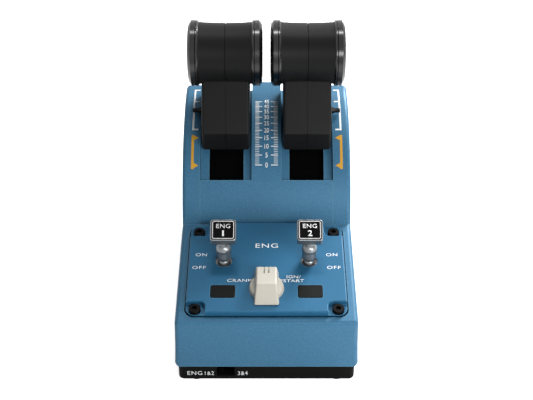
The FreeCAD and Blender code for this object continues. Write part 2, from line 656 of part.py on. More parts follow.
def toggle_bodies():
    """Switch bodies with round collars under the toggles."""
    body = block(TOGGLE_X - 6.5, TOGGLE_X + 6.5, TOGGLE_A - 9, TOGGLE_A + 9, BOARD_H, SEAT_H - 1)
    collar = post(TOGGLE_X, TOGGLE_A, SEAT_H - 1, PLATE_UNDER, TOGGLE_R + 3)
    nut = post(TOGGLE_X, TOGGLE_A, SEAT_H, PLATE_TOP - 0.7, COLLAR_R)
    can = block(TOGGLE_X - 6.5, TOGGLE_X + 6.5, TOGGLE_A - 9, TOGGLE_A + 9, BOARD_H - BOARD_T - 8, BOARD_H)
    solid = body.fuse([collar, nut, can]).removeSplitter()
    solid = solid.cut(post(TOGGLE_X, TOGGLE_A, SEAT_H - 2, PLATE_TOP, BALL_R + GAP))
    solid = solid.cut(post(TOGGLE_X, TOGGLE_A, TOGGLE_H, PLATE_TOP, BALL_R + BALL_ROOM))
    throat = block(TOGGLE_X - 3, TOGGLE_X + 3, TOGGLE_A - 7.5, TOGGLE_A + 7.5, BOARD_H - BOARD_T - 4, SEAT_H)
    return both(on_deck(solid.cut(throat)))


def selector_knob():
    """Mode selector: round skirt and a tapered bar with pointer grooves."""
    base_h = PLATE_TOP + GAP
    disc = Part.makeCone(KNOB_DISC_R, KNOB_DISC_R - 0.8, 2.6, V(0, 0, base_h))
    low = bar_outline(KNOB_BAR_BASE, KNOB_BAR_W, base_h + 0.6)
    high = bar_outline(KNOB_BAR_TOP, KNOB_BAR_TOP_W, KNOB_TOP)
    bar = Part.makeLoft([low, high], True, True)
    bar = bar.makeFillet(1.3, edges(bar, lambda p: p.z > base_h + 1.2))
    solid = disc.fuse(bar).removeSplitter()
    for x in (-1.5, 1.5):
        solid = solid.cut(block(x - 0.45, x + 0.45, KNOB_BAR_TOP / 2 - GROOVE_L, KNOB_BAR_BASE,
                                KNOB_TOP - 2.0, KNOB_TOP + 1))
    solid = solid.cut(post(0, 0, 0, KNOB_TOP - 4.5, KNOB_SHAFT_R + RUN))
    solid.translate(V(0, KNOB_A, 0))
    return on_deck(solid)


def bar_outline(length, width, height):
    """Rectangle about the knob's axis."""
    ring = [V(x * width / 2, y * length / 2, height) for x, y in ((-1, -1), (1, -1), (1, 1), (-1, 1))]
    return Part.makePolygon(ring + ring[:1])


def selector_switch():
    """Rotary switch on the board, with its shaft up into the knob."""
    body = block(-8, 8, KNOB_A - 8, KNOB_A + 8, BOARD_H, SEAT_H)
    bush = post(0, KNOB_A, SEAT_H, PLATE_UNDER, KNOB_SHAFT_R + 2)
    shaft = post(0, KNOB_A, PLATE_UNDER, KNOB_TOP - 4.5 - GAP, KNOB_SHAFT_R)
    return on_deck(body.fuse([bush, shaft]).removeSplitter())


def push_button():
    """Right flush push button with a retaining flange under the plate."""
    half_w, half_l = BUTTON_W / 2, BUTTON_L / 2
    base = BOARD_H + TACT_H + BUTTON_TRAVEL + GAP
    cap = slab(BUTTON_X - half_w, BUTTON_X + half_w, BUTTON_A - half_l, BUTTON_A + half_l,
               base, PLATE_TOP + BUTTON_PROUD, 1.2)
    cap = cap.makeFillet(0.4, [e for e in cap.Edges if e.BoundBox.ZMin > PLATE_TOP])
    rim = SKIRT / 2
    flange = block(BUTTON_X - half_w - rim, BUTTON_X + half_w + rim, BUTTON_A - half_l - rim,
                   BUTTON_A + half_l + rim, base, PLATE_UNDER - GAP)
    return on_deck(cap.fuse(flange).removeSplitter())


def button_switches():
    """Small tactile switches under the push buttons."""
    body = block(BUTTON_X - 3, BUTTON_X + 3, BUTTON_A - 3, BUTTON_A + 3, BOARD_H, BOARD_H + TACT_H - 1)
    plunger = post(BUTTON_X, BUTTON_A, BOARD_H + TACT_H - 1, BOARD_H + TACT_H, 1.8)
    return both(on_deck(body.fuse(plunger).removeSplitter()))


def switch_board():
    """Circuit board under the control plate, cut out round the toggle bodies."""
    board = block(-48, 48, KNOB_A - 12, TOGGLE_A + 12, BOARD_H - BOARD_T, BOARD_H)
    half_w, half_l = 6.5 + FIT, 9 + FIT
    for x in (-TOGGLE_X, TOGGLE_X):
        board = board.cut(block(x - half_w, x + half_w, TOGGLE_A - half_l, TOGGLE_A + half_l, -TALL, TALL))
    return on_deck(board)


def slide_switch_body():
    """Slide switch behind the window in the tray."""
    y0 = TRAY_Y0 + WALL + FIT
    body = block(SLIDE_X - 9.5, SLIDE_X + 9.5, y0, y0 + 8, TRAY_FLOOR, SEAM_Z - WALL - FIT)
    half = SLIDE_W / 2 - 0.5
    return body.cut(block(SLIDE_X - half, SLIDE_X + half, y0 - 1, y0 + 5, SLIDE_Z - 1.6, SLIDE_Z + 1.6))


def slide_switch_knob():
    """Nub of the slide switch, at its left end."""
    x0 = SLIDE_X - SLIDE_W / 2 + 1
    nub = block(x0, x0 + NUB_W, TRAY_Y0 + 1.0, TRAY_Y0 + WALL, SLIDE_Z - 2.2, SLIDE_Z + 2.2)
    stem = block(x0, x0 + NUB_W, TRAY_Y0 + WALL - 0.5, TRAY_Y0 + WALL + 4, SLIDE_Z - 1.3, SLIDE_Z + 1.3)
    middle = x0 + NUB_W / 2
    ridge = block(middle - 0.4, middle + 0.4, TRAY_Y0 + 0.5, TRAY_Y0 + 1.1, SLIDE_Z - 2.2, SLIDE_Z + 2.2)
    return nub.fuse([stem, ridge]).removeSplitter()


# ---- lever carrier
def bracket(x0, x1, front, top):
    """Upright plate that carries the axle, on a foot screwed to the tray."""
    rear = PIVOT_Y + AXLE_R + 3.4
    plate = prism([(front, TRAY_FLOOR), (rear, TRAY_FLOOR), (rear, PIVOT_Z + 6), (PIVOT_Y, top),
                   (front + 8, top), (front, PIVOT_Z)], x0, x1)
    plate = plate.cut(rod(x0 - 1, x1 + 1, PIVOT_Y, PIVOT_Z, AXLE_R + RUN))
    return plate


def center_bracket():
    """Middle upright between the levers, with the arm that holds the port board."""
    plate = bracket(-SKIRT, SKIRT, PIVOT_Y - 26, PIVOT_Z + 14)
    foot = block(-8, 8, PIVOT_Y - 26, PIVOT_Y - 12, TRAY_FLOOR, TRAY_FLOOR + 3)
    arm = block(-SKIRT, SKIRT, PORT_Y - 9, PORT_Y, PIVOT_Z + 8, USB_Z + 6)
    return join(plate, foot, arm)


def side_bracket():
    """Right outer upright, with two stand-offs for its sensor board."""
    x0 = LEVER_X + HUB_HALF + 4
    plate = bracket(x0, x0 + 3, PIVOT_Y - 30, PIVOT_Z + 30)
    foot = block(x0 - 8, x0 + 3, PIVOT_Y - 30, PIVOT_Y - 14, TRAY_FLOOR, TRAY_FLOOR + 3)
    posts = [rod(SENSOR_X + BOARD_T, x0 + 1, y, PIVOT_Z + 20, SKIRT) for y in (PIVOT_Y - 21, PIVOT_Y - 9)]
    return join(plate, foot, *posts)


def lever_axle():
    """Steel axle with clip grooves at its ends."""
    end = LEVER_X + HUB_HALF + 10
    axle = rod(-end, end, PIVOT_Y, PIVOT_Z, AXLE_R)
    for x in (-end + 1.9, end - 2.9):
        ring = rod(x, x + 1, PIVOT_Y, PIVOT_Z, AXLE_R + 1).cut(rod(x, x + 1, PIVOT_Y, PIVOT_Z, AXLE_R - 0.6))
        axle = axle.cut(ring)
    return axle


def axle_clips():
    """Retaining clips in the axle's grooves."""
    x = LEVER_X + HUB_HALF + 7.1
    ring = rod(x, x + 0.9, PIVOT_Y, PIVOT_Z, AXLE_R + 2.4)
    ring = ring.cut(rod(x, x + 0.9, PIVOT_Y, PIVOT_Z, AXLE_R - 0.6))
    mouth = block(x - 1, x + 2, PIVOT_Y - 2.4, PIVOT_Y + 2.4, PIVOT_Z - 9, PIVOT_Z)
    return both(ring.cut(mouth))


def axle_spacers():
    """Tubes that keep the hubs centred between the brackets."""
    tubes = []
    for x0, x1 in ((SKIRT, LEVER_X - HUB_HALF), (LEVER_X + HUB_HALF, LEVER_X + HUB_HALF + 4)):
        outer = rod(x0 + FIT / 2, x1 - FIT / 2, PIVOT_Y, PIVOT_Z, HUB_R - 0.5)
        tube = outer.cut(rod(x0, x1, PIVOT_Y, PIVOT_Z, AXLE_R + RUN))
        tubes += [tube, flip(tube)]
    return group(tubes)


def friction_shoes():
    """Pads pressed on the hubs from below."""
    pad = block(LEVER_X - 6, LEVER_X + 6, PIVOT_Y - 5, PIVOT_Y + 5, SEAM_Z + 5, PIVOT_Z - HUB_R + 1)
    pad = pad.cut(rod(LEVER_X - 9, LEVER_X + 9, PIVOT_Y, PIVOT_Z, HUB_R + GAP))
    return both(pad)


def friction_screws():
    """Friction adjusters, reached through the underside."""
    screw = post(LEVER_X, PIVOT_Y, TRAY_Z + 1, SEAM_Z + 5, FRICTION_R)
    slot = block(LEVER_X - 9, LEVER_X + 9, PIVOT_Y - 0.4, PIVOT_Y + 0.4, 0, TRAY_Z + 2)
    return both(screw.cut(slot))


def detent_arms():
    """Spring arms on the tray that hold the detent rollers."""
    ry, rz = polar(ROLLER_PHI, SECTOR_R + GAP + ROLLER_R)
    x0, x1 = LEVER_X - 8.6, LEVER_X - 0.4
    back = polar(0, SECTOR_R + GAP)[0] - 1
    arm = prism([(back - 3.5, TRAY_FLOOR), (back, TRAY_FLOOR), (back, rz - 8), (ry + 2, rz - 2),
                 (ry + 1.2, rz + 3.2), (ry - 2.2, rz + 3.2), (back - 3.5, rz - 6)], x0, x1)
    arm = arm.cut(rod(x0 + 1.3, x1 - 1.3, ry, rz, ROLLER_R + 2 * GAP))
    foot = block(x0, x1, back - 9, back, TRAY_FLOOR, TRAY_FLOOR + SKIRT)
    return both(join(arm, foot, rod(x0, x1, ry, rz, 1.2)))


def detent_rollers():
    """Rollers that ride on the detent sectors."""
    ry, rz = polar(ROLLER_PHI, SECTOR_R + GAP + ROLLER_R)
    x0, x1 = LEVER_X - 8.6 + 1.5, LEVER_X - 0.4 - 1.5
    return both(rod(x0, x1, ry, rz, ROLLER_R).cut(rod(x0, x1, ry, rz, 1.2 + RUN)))


# ---- electronics
def main_board():
    """Main circuit board on the tray's posts."""
    half = BOARD_LENGTH / 2
    board = block(-BOARD_HALF, BOARD_HALF, BOARD_Y - half, BOARD_Y + half, BOARD_Z, BOARD_Z + BOARD_T)
    chip = block(-7, 7, BOARD_Y - 7, BOARD_Y + 7, BOARD_Z + BOARD_T - 0.1, BOARD_Z + BOARD_T + 1.4)
    top, edge = BOARD_Z + BOARD_T, BOARD_Y + half
    header = block(-24, -12, edge - 9, edge - 4, top - 0.1, top + 5)
    return join(board, chip, header)


def port_board():
    """Upright board that carries the rear sockets."""
    return block(-14.5, 14.5, PORT_Y, PORT_Y + BOARD_T, JACK_Z - JACK_H / 2 - 2, USB_Z + 6)


def jack_sockets():
    """Two jack sockets for neighbouring units, open to the rear."""
    sockets = []
    for x in (-JACK_X, JACK_X):
        body = block(x - JACK_W / 2, x + JACK_W / 2, PORT_Y + BOARD_T, rear_y(JACK_Z + JACK_H) - FIT,
                     JACK_Z - JACK_H / 2, JACK_Z + JACK_H / 2)
        mouth = block(x - JACK_MOUTH_W / 2, x + JACK_MOUTH_W / 2, PORT_Y + BOARD_T + 2, LENGTH,
                      JACK_Z - JACK_MOUTH_H / 2, JACK_Z + JACK_MOUTH_H / 2)
        latch = block(x - 2, x + 2, PORT_Y + BOARD_T + 4, LENGTH, JACK_Z - JACK_H / 2 + 1, JACK_Z)
        sockets.append(body.cut(mouth).cut(latch))
    return group(sockets)


def usb_socket():
    """USB inlet of the lead."""
    depth = rear_y(USB_Z + 3) - FIT - PORT_Y - BOARD_T
    body = slab(-USB_W / 2, USB_W / 2, -USB_H / 2, USB_H / 2, 0, depth, USB_H / 2 - 0.1)
    half_w, half_h = USB_W / 2 - 0.4, USB_H / 2 - 0.4
    body = body.cut(slab(-half_w, half_w, -half_h, half_h, 3, depth + 1, 1.0))
    body = body.fuse(block(-3.2, 3.2, -0.35, 0.35, 2.9, depth - 1.5)).removeSplitter()
    body.rotate(V(0, 0, 0), V(1, 0, 0), -90)
    body.translate(V(0, PORT_Y + BOARD_T, USB_Z))
    return body


def sensor_boards():
    """Position sensor boards beside the lever webs."""
    y0, y1 = PIVOT_Y - 25, PIVOT_Y - 5
    board = block(SENSOR_X, SENSOR_X + BOARD_T, y0, y1, PIVOT_Z + 10, PIVOT_Z + 30)
    chip = block(SENSOR_X - 1, SENSOR_X + 0.1, y0 + 8, y0 + 12, PIVOT_Z + 18, PIVOT_Z + 22)
    return both(join(board, chip))


# ---- thrust levers, drawn on the right-hand side
def stalk_profile(inset):
    """Side outline of the handle's block, moved inwards by inset."""
    phi_low, phi_high = POINTER_PHI - 18.9, POINTER_PHI + 14.5
    low = polar(phi_low + inset * 0.6, BLOCK_R + inset)
    nose = polar(POINTER_PHI - 15.7 + inset * 0.75, BLOCK_R + 14.4 - inset * 0.2)
    neck = polar(DRUM_PHI - 7.8 + inset * 0.5, DRUM_DIST - 10.5)
    crown = (DRUM_Y, DRUM_Z)
    far_top = (DRUM_Y + 18.1 - inset, DRUM_Z - 8.4)
    high = polar(phi_high - inset * 0.6, BLOCK_R + inset)
    middle = polar(POINTER_PHI, BLOCK_R + inset)
    points = [V(0, *p) for p in (high, far_top, crown, neck, nose, low)]
    wires = [Part.makeLine(first, last) for first, last in zip(points, points[1:])]
    arc = Part.Arc(V(0, *low), V(0, *middle), V(0, *high)).toShape()
    return Part.Face(Part.Wire(wires + [arc]))


def handle():
    """Whole handle before it is parted: block that hugs the arch, waisted barrel and pointer fin."""
    stalk = stalk_profile(0).extrude(V(2 * STALK_HALF, 0, 0))
    stalk.translate(V(LEVER_X - STALK_HALF, 0, 0))
    ends = edges(stalk, lambda p: abs(abs(p.x - LEVER_X) - STALK_HALF) < 0.01)
    stalk = stalk.makeFillet(STALK_EDGE_R, ends)
    low, high = BLOCK_R + 0.4, BLOCK_R + 3.6
    pointer = along_lever([(low, -3.6), (high, -3.6), (high, 3.6), (low, 3.6)], 0, 1)
    x0, x1 = LEVER_X + STALK_HALF - 1, LEVER_X + STALK_HALF + 8
    low, high = BLOCK_R + 0.8, BLOCK_R + 3.0
    tip = along_lever([(low, -1.2), (high, -1.2), (high, 1.2), (low, 1.2)], 0, 1)
    root_wire, tip_wire = end_wire(pointer, x0), end_wire(tip, x1 - 3.5)
    fin = Part.makeLoft([root_wire, tip_wire, end_wire(tip, x1)], True, True)
    return stalk.fuse([barrel(0), fin]).removeSplitter()


def end_wire(thin, x):
    """Outline of a thin prism's end, moved to a plane of constant x."""
    face = [f for f in thin.Faces if abs(f.CenterOfMass.x) < 0.01 and abs(f.normalAt(0, 0).x) > 0.9][0]
    wire = face.OuterWire.copy()
    wire.translate(V(x, 0, 0))
    return wire


def barrel(inset):
    """Waisted grip of the handle, turned about the drum's axis."""
    x0, x1 = LEVER_X - BARREL_HALF, LEVER_X + BARREL_HALF
    radius = DRUM_R - inset
    wire = Part.Wire([
        Part.makeLine(V(x0, 0, 0), V(x0, 0, radius)),
        Part.Arc(V(x0, 0, radius), V(LEVER_X, 0, radius - DRUM_WAIST), V(x1, 0, radius)).toShape(),
        Part.makeLine(V(x1, 0, radius), V(x1, 0, 0)),
        Part.makeLine(V(x1, 0, 0), V(x0, 0, 0)),
    ])
    solid = Part.Face(wire).revolve(V(0, 0, 0), V(1, 0, 0), 360)
    solid.translate(V(0, DRUM_Y, DRUM_Z))
    return solid


def parting_groove():
    """Shallow groove all round the handle, in the plane where its halves meet."""
    core = stalk_profile(PARTING_D).extrude(V(2, 0, 0))
    core.translate(V(LEVER_X - 1, 0, 0))
    x0, x1 = LEVER_X - PARTING_W / 2, LEVER_X + PARTING_W / 2
    return block(x0, x1, -LENGTH, LENGTH, 0, TALL).cut(core.fuse(barrel(PARTING_D + DRUM_WAIST)))


def handle_halves():
    """Outer and inner half of the right handle, hollow and clamped on the tongue of the arm."""
    whole = handle()
    room = stalk_profile(HANDLE_WALL).extrude(V(2 * (STALK_HALF - HANDLE_WALL), 0, 0))
    room.translate(V(LEVER_X - STALK_HALF + HANDLE_WALL, 0, 0))
    shell = whole.cut(room).cut(barrel(HANDLE_WALL + 0.6)).cut(parting_groove())
    slack = FIT / 2
    throat = along_lever([(BLOCK_R - 5, -NECK_T / 2 - slack), (TONGUE_TOP, -NECK_T / 2 - slack),
                          (TONGUE_TOP, NECK_T / 2 + slack), (BLOCK_R - 5, NECK_T / 2 + slack)],
                         LEVER_X - TONGUE_HALF - slack, LEVER_X + TONGUE_HALF + slack)
    shell = shell.cut(throat)
    sides = []
    for side in (1, -1):
        x0, x1 = (LEVER_X, LEVER_X + DECK_WIDTH) if side > 0 else (LEVER_X - DECK_WIDTH, LEVER_X)
        half = shell.common(block(x0, x1, -LENGTH, LENGTH, 0, TALL))
        wall = LEVER_X + side * (STALK_HALF - HANDLE_WALL + 0.5)
        for y, z in clamp_places():
            low, high = sorted((LEVER_X, wall))
            half = half.fuse(rod(low, high, y, z, CLAMP_R)).cut(rod(low, high, y, z, SCREW_R - 0.3))
        sides.append(half.removeSplitter())
    return sides


def clamp_places():
    """Screw bosses of the handle halves: through the tongue, and in the block above it."""
    return [polar(POINTER_PHI, BLOCK_R + 13), polar(POINTER_PHI + 4, DRUM_DIST - 14)]


def end_ring(side, bored):
    """Gloss ring that closes one end of the barrel; side is +1 for the outer end."""
    inner = BORE_R if bored else 0.0
    profile = [(-2.5, 15.2), (-2.5, 18.0), (0, 18.0), (0, RING_R - 0.8), (0.8, RING_R), (1.6, RING_R),
               (1.9, RING_R - 0.4), (2.2, RING_R), (RING_W - 2.4, RING_R), (RING_W - 0.6, RING_R - 2.2),
               (RING_W, RING_R - 4.4), (RING_W, inner), (RING_W - 2.5, inner), (RING_W - 2.5, 15.2)]
    ring = [V(x, 0, r) for x, r in profile]
    solid = Part.Face(Part.makePolygon(ring + ring[:1])).revolve(V(0, 0, 0), V(1, 0, 0), 360)
    if side < 0:
        solid = flip(solid)
    solid.translate(V(LEVER_X + side * BARREL_HALF, DRUM_Y, DRUM_Z))
    return solid


def disconnect_button():
    """Round button in the outer ring, with a flange behind it."""
    face = LEVER_X + BARREL_HALF + RING_W + DISC_PROUD
    inner = LEVER_X + BARREL_HALF + RING_W - 2.5 - GAP
    cap = rod(inner - 0.5, face, DRUM_Y, DRUM_Z, BORE_R - GAP)
    cap = cap.makeFillet(0.8, edges(cap, lambda p: p.x > face - 0.01))
    return cap.fuse(rod(inner - 1.6, inner, DRUM_Y, DRUM_Z, BORE_R + 1.4)).removeSplitter()


def trigger_frame():
    """Unit vectors (y, z) up along the handle's far face and out of it."""
    high = polar(POINTER_PHI + 14.5, BLOCK_R)
    far_top = (DRUM_Y + 18.1, DRUM_Z - 8.4)
    up = (far_top[0] - high[0], far_top[1] - high[1])
    length = math.hypot(*up)
    return high, (up[0] / length, up[1] / length)


def trigger_prism(points, x0, x1):
    """Polygon of (up, out) points on the far face, extruded along X."""
    (y, z), (uy, uz) = trigger_frame()
    return prism([(y + u * uy + o * uz, z + u * uz - o * uy) for u, o in points], x0, x1)


def reverse_trigger():
    """Finger lift on the far face, sliding up along it on a keyed stem."""
    x0, x1 = LEVER_X - TRIGGER_W / 2, LEVER_X + TRIGGER_W / 2
    plate = trigger_prism([(5, GAP), (24, GAP), (24, 3.2), (15, 3.4), (10.5, 12), (8, 12.6), (5.6, 11.4),
                           (5, 8)], x0, x1)
    plate = plate.makeFillet(1.0, [e for e in plate.Edges if abs(e.tangentAt(0).x) > 0.9 and e.Length > 1])
    key = trigger_prism([(8, -4), (20, -4), (20, 1), (8, 1)], LEVER_X - 3, LEVER_X + 3)
    low, high = -HANDLE_WALL - 3, -HANDLE_WALL - GAP
    head = trigger_prism([(8, low), (20, low), (20, high), (8, high)], LEVER_X - 5, LEVER_X + 5)
    return join(plate, key, head)


def trigger_slot():
    """Keyway of the trigger in the handle's far wall."""
    return trigger_prism([(8 - GAP, -HANDLE_WALL - 2), (20 + GAP + TRIGGER_TRAVEL, -HANDLE_WALL - 2),
                          (20 + GAP + TRIGGER_TRAVEL, 9), (8 - GAP, 9)], LEVER_X - 3 - GAP, LEVER_X + 3 + GAP)


def lever_arm():
    """Hub, ribbed web, neck through the slot and tongue inside the handle."""
    hub = rod(LEVER_X - HUB_HALF, LEVER_X + HUB_HALF, PIVOT_Y, PIVOT_Z, HUB_R)
    x0, x1 = LEVER_X - WEB_T / 2, LEVER_X + WEB_T / 2
    web = along_lever([(0, -HUB_R), (SHUTTER_R - 8, -13), (SHUTTER_R - 8, 13), (0, HUB_R)], x0, x1)
    window = along_lever([(22, -4.5), (SHUTTER_R - 20, -7.5), (SHUTTER_R - 20, 7.5), (22, 4.5)], x0, x1)
    neck_x0, neck_x1 = LEVER_X - NECK_HALF, LEVER_X + NECK_HALF
    half_t = NECK_T / 2
    low, high = SHUTTER_R - 12, SHUTTER_R - 8
    foot = along_lever([(low, -13), (high, -13), (high, 13), (low, 13)], neck_x0, neck_x1)
    neck = along_lever([(SHUTTER_R - 12, -half_t), (BLOCK_R - FIT, -half_t), (BLOCK_R - FIT, half_t),
                        (SHUTTER_R - 12, half_t)], neck_x0, neck_x1)
    tongue = along_lever([(BLOCK_R - 2, -half_t), (TONGUE_TOP - 1, -half_t), (TONGUE_TOP - 1, half_t),
                          (BLOCK_R - 2, half_t)], LEVER_X - TONGUE_HALF, LEVER_X + TONGUE_HALF)
    solid = hub.fuse([web.cut(window), foot, neck, tongue])
    y, z = clamp_places()[0]
    solid = solid.cut(rod(0, DECK_WIDTH, y, z, CLAMP_R + FIT))
    return solid.cut(rod(0, DECK_WIDTH, PIVOT_Y, PIVOT_Z, AXLE_R + RUN)).removeSplitter()


def dust_shutter():
    """Curved shutter that follows the lever under its slot."""
    x0, x1 = LEVER_X - NECK_HALF - 3.2, LEVER_X + NECK_HALF + 3.2
    low, high = POINTER_PHI - SHUTTER_BEFORE, POINTER_PHI + SHUTTER_AFTER
    sheet = sector(SHUTTER_R - SHUTTER_T, SHUTTER_R, low, high, x0, x1)
    half_t = NECK_T / 2 + FIT / 2
    hole = along_lever([(SHUTTER_R - 9, -half_t), (SHUTTER_R + 9, -half_t), (SHUTTER_R + 9, half_t),
                        (SHUTTER_R - 9, half_t)],
                       LEVER_X - NECK_HALF - FIT / 2, LEVER_X + NECK_HALF + FIT / 2)
    ribs = [along_lever([(SHUTTER_R - 8, a - 1), (SHUTTER_R - SHUTTER_T + 0.3, a - 1),
                         (SHUTTER_R - SHUTTER_T + 0.3, a + 1), (SHUTTER_R - 8, a + 1)],
                        LEVER_X - NECK_HALF, LEVER_X + NECK_HALF) for a in (-12, 12)]
    return join(sheet.cut(hole), *ribs)


def detent_sector():
    """Steel sector with detent notches, on the inner face of the web."""
    x1 = LEVER_X - WEB_T / 2
    x0 = x1 - SECTOR_T
    low = ROLLER_PHI - DETENTS[-1] + POINTER_PHI - 4
    high = POINTER_PHI + 8
    plate = sector(HUB_R + 0.5, SECTOR_R, low, high, x0, x1)
    window = sector(HUB_R + 9, SECTOR_R - 13, low + 9, POINTER_PHI - 17, x0, x1)
    plate = plate.cut(window)
    for stop in DETENTS:
        phi = ROLLER_PHI - stop + POINTER_PHI
        y, z = polar(phi, SECTOR_R + 1.6)
        plate = plate.cut(rod(x0, x1, y, z, ROLLER_R))
    return plate


def sensor_magnet():
    """Curved magnet on the outer face of the web."""
    x0 = LEVER_X + WEB_T / 2
    return sector(HUB_R + 5, HUB_R + 12, POINTER_PHI - 18, POINTER_PHI + 18, x0, x0 + 2.4)


def lever_parts():
    """Pieces of the right lever by the last part of their node names."""
    outer, inner = handle_halves()
    slot = trigger_slot()
    return {
        "handle_outer": outer.cut(slot),
        "handle_inner": inner.cut(slot),
        "outer_ring": end_ring(1, True),
        "inner_ring": end_ring(-1, False),
        "lever_arm": lever_arm(),
        "dust_shutter": dust_shutter(),
        "detent_sector": detent_sector(),
        "sensor_magnet": sensor_magnet(),
        "disconnect_button": disconnect_button(),
        "reverse_trigger": reverse_trigger(),
    }


def parts():
    """Every node of the throttle quadrant."""
    nodes = {
        "base_tray": base_tray(),
        "rubber_feet": rubber_feet(),
        "mount_inserts": mount_inserts(),
        "case_screws": case_screws(),
        "front_housing": front_housing(),
        "rear_cover": rear_cover(),
        "quadrant_cover": quadrant_cover(),
        "control_plate": control_plate(),
        "plate_screws": plate_screws(),
        "center_bracket": center_bracket(),
        "lever_axle": lever_axle(),
        "axle_clips": axle_clips(),
        "axle_spacers": axle_spacers(),
        "friction_shoes": friction_shoes(),
        "friction_screws": friction_screws(),
        "detent_arms": detent_arms(),
        "detent_rollers": detent_rollers(),
        "main_board": main_board(),
        "port_board": port_board(),
        "jack_sockets": jack_sockets(),
        "usb_socket": usb_socket(),
        "sensor_boards": sensor_boards(),
        "switch_board": switch_board(),
        "toggle_bodies": toggle_bodies(),
        "button_switches": button_switches(),
        "selector_switch": selector_switch(),
        "selector_knob": selector_knob(),
        "slide_switch_body": slide_switch_body(),
        "slide_switch_knob": slide_switch_knob(),
    }
    handed = {"side_shell": side_shell(), "slot_frame": slot_frame(), "bracket": side_bracket(),
              "engine_toggle": toggle(), "push_button": push_button()}
    handed.update(lever_parts())
    for name, shape in handed.items():
        nodes["right_" + name] = shape
        nodes["left_" + name] = flip(shape)
    return nodes


if __name__ == "__main__":
    os.makedirs("parts", exist_ok=True)
    for node, shape in parts().items():
        print(node, shape.isValid(), len(shape.Solids), round(shape.Volume))
        shape.exportStep("parts/" + node + ".step")
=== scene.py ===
"""Finish, print and small fittings of a desk throttle quadrant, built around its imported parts.

The frame is +X to the pilot's right, +Y away from the pilot and +Z up, with the origin on the table under
the middle of the casing. Sizes here are in millimetres and become metres where a mesh is made.
"""

import json
import logging
import math
from dataclasses import dataclass
from enum import Enum
from typing import Iterable

import bmesh
import bpy
from mathutils import Matrix, Vector


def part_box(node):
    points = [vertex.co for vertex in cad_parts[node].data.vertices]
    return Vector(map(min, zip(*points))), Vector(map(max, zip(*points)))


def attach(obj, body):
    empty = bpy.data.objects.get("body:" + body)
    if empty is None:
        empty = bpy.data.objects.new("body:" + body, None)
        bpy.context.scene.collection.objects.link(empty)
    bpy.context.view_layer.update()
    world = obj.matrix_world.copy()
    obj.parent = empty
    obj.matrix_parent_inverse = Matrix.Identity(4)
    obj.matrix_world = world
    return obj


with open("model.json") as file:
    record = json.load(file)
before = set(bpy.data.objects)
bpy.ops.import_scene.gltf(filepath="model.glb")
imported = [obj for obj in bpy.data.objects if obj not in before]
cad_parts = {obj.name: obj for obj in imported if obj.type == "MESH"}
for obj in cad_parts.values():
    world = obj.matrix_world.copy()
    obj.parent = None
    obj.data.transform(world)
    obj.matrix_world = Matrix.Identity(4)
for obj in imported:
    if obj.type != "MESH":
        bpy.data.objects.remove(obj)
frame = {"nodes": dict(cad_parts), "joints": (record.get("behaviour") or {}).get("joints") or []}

log = logging.getLogger("quadrant")

MM = 0.001
INK = 0.05               # thickness of printed marks, in millimetres
WELD = 1e-7              # points closer than this are merged, in metres
ACROSS = Vector((1.0, 0.0, 0.0))
UPRIGHT = Vector((0.0, 0.0, 1.0))
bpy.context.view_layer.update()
JOINTS = {entry["name"]: entry for entry in frame["joints"]}
Socket = bpy.types.NodeSocket
Value = Socket | float | tuple


class Side(Enum):
    """The two halves of the quadrant, as signs along X."""

    LEFT = -1
    RIGHT = 1

    @property
    def word(self) -> str:
        """The side's word in node and body names."""
        return self.name.lower()


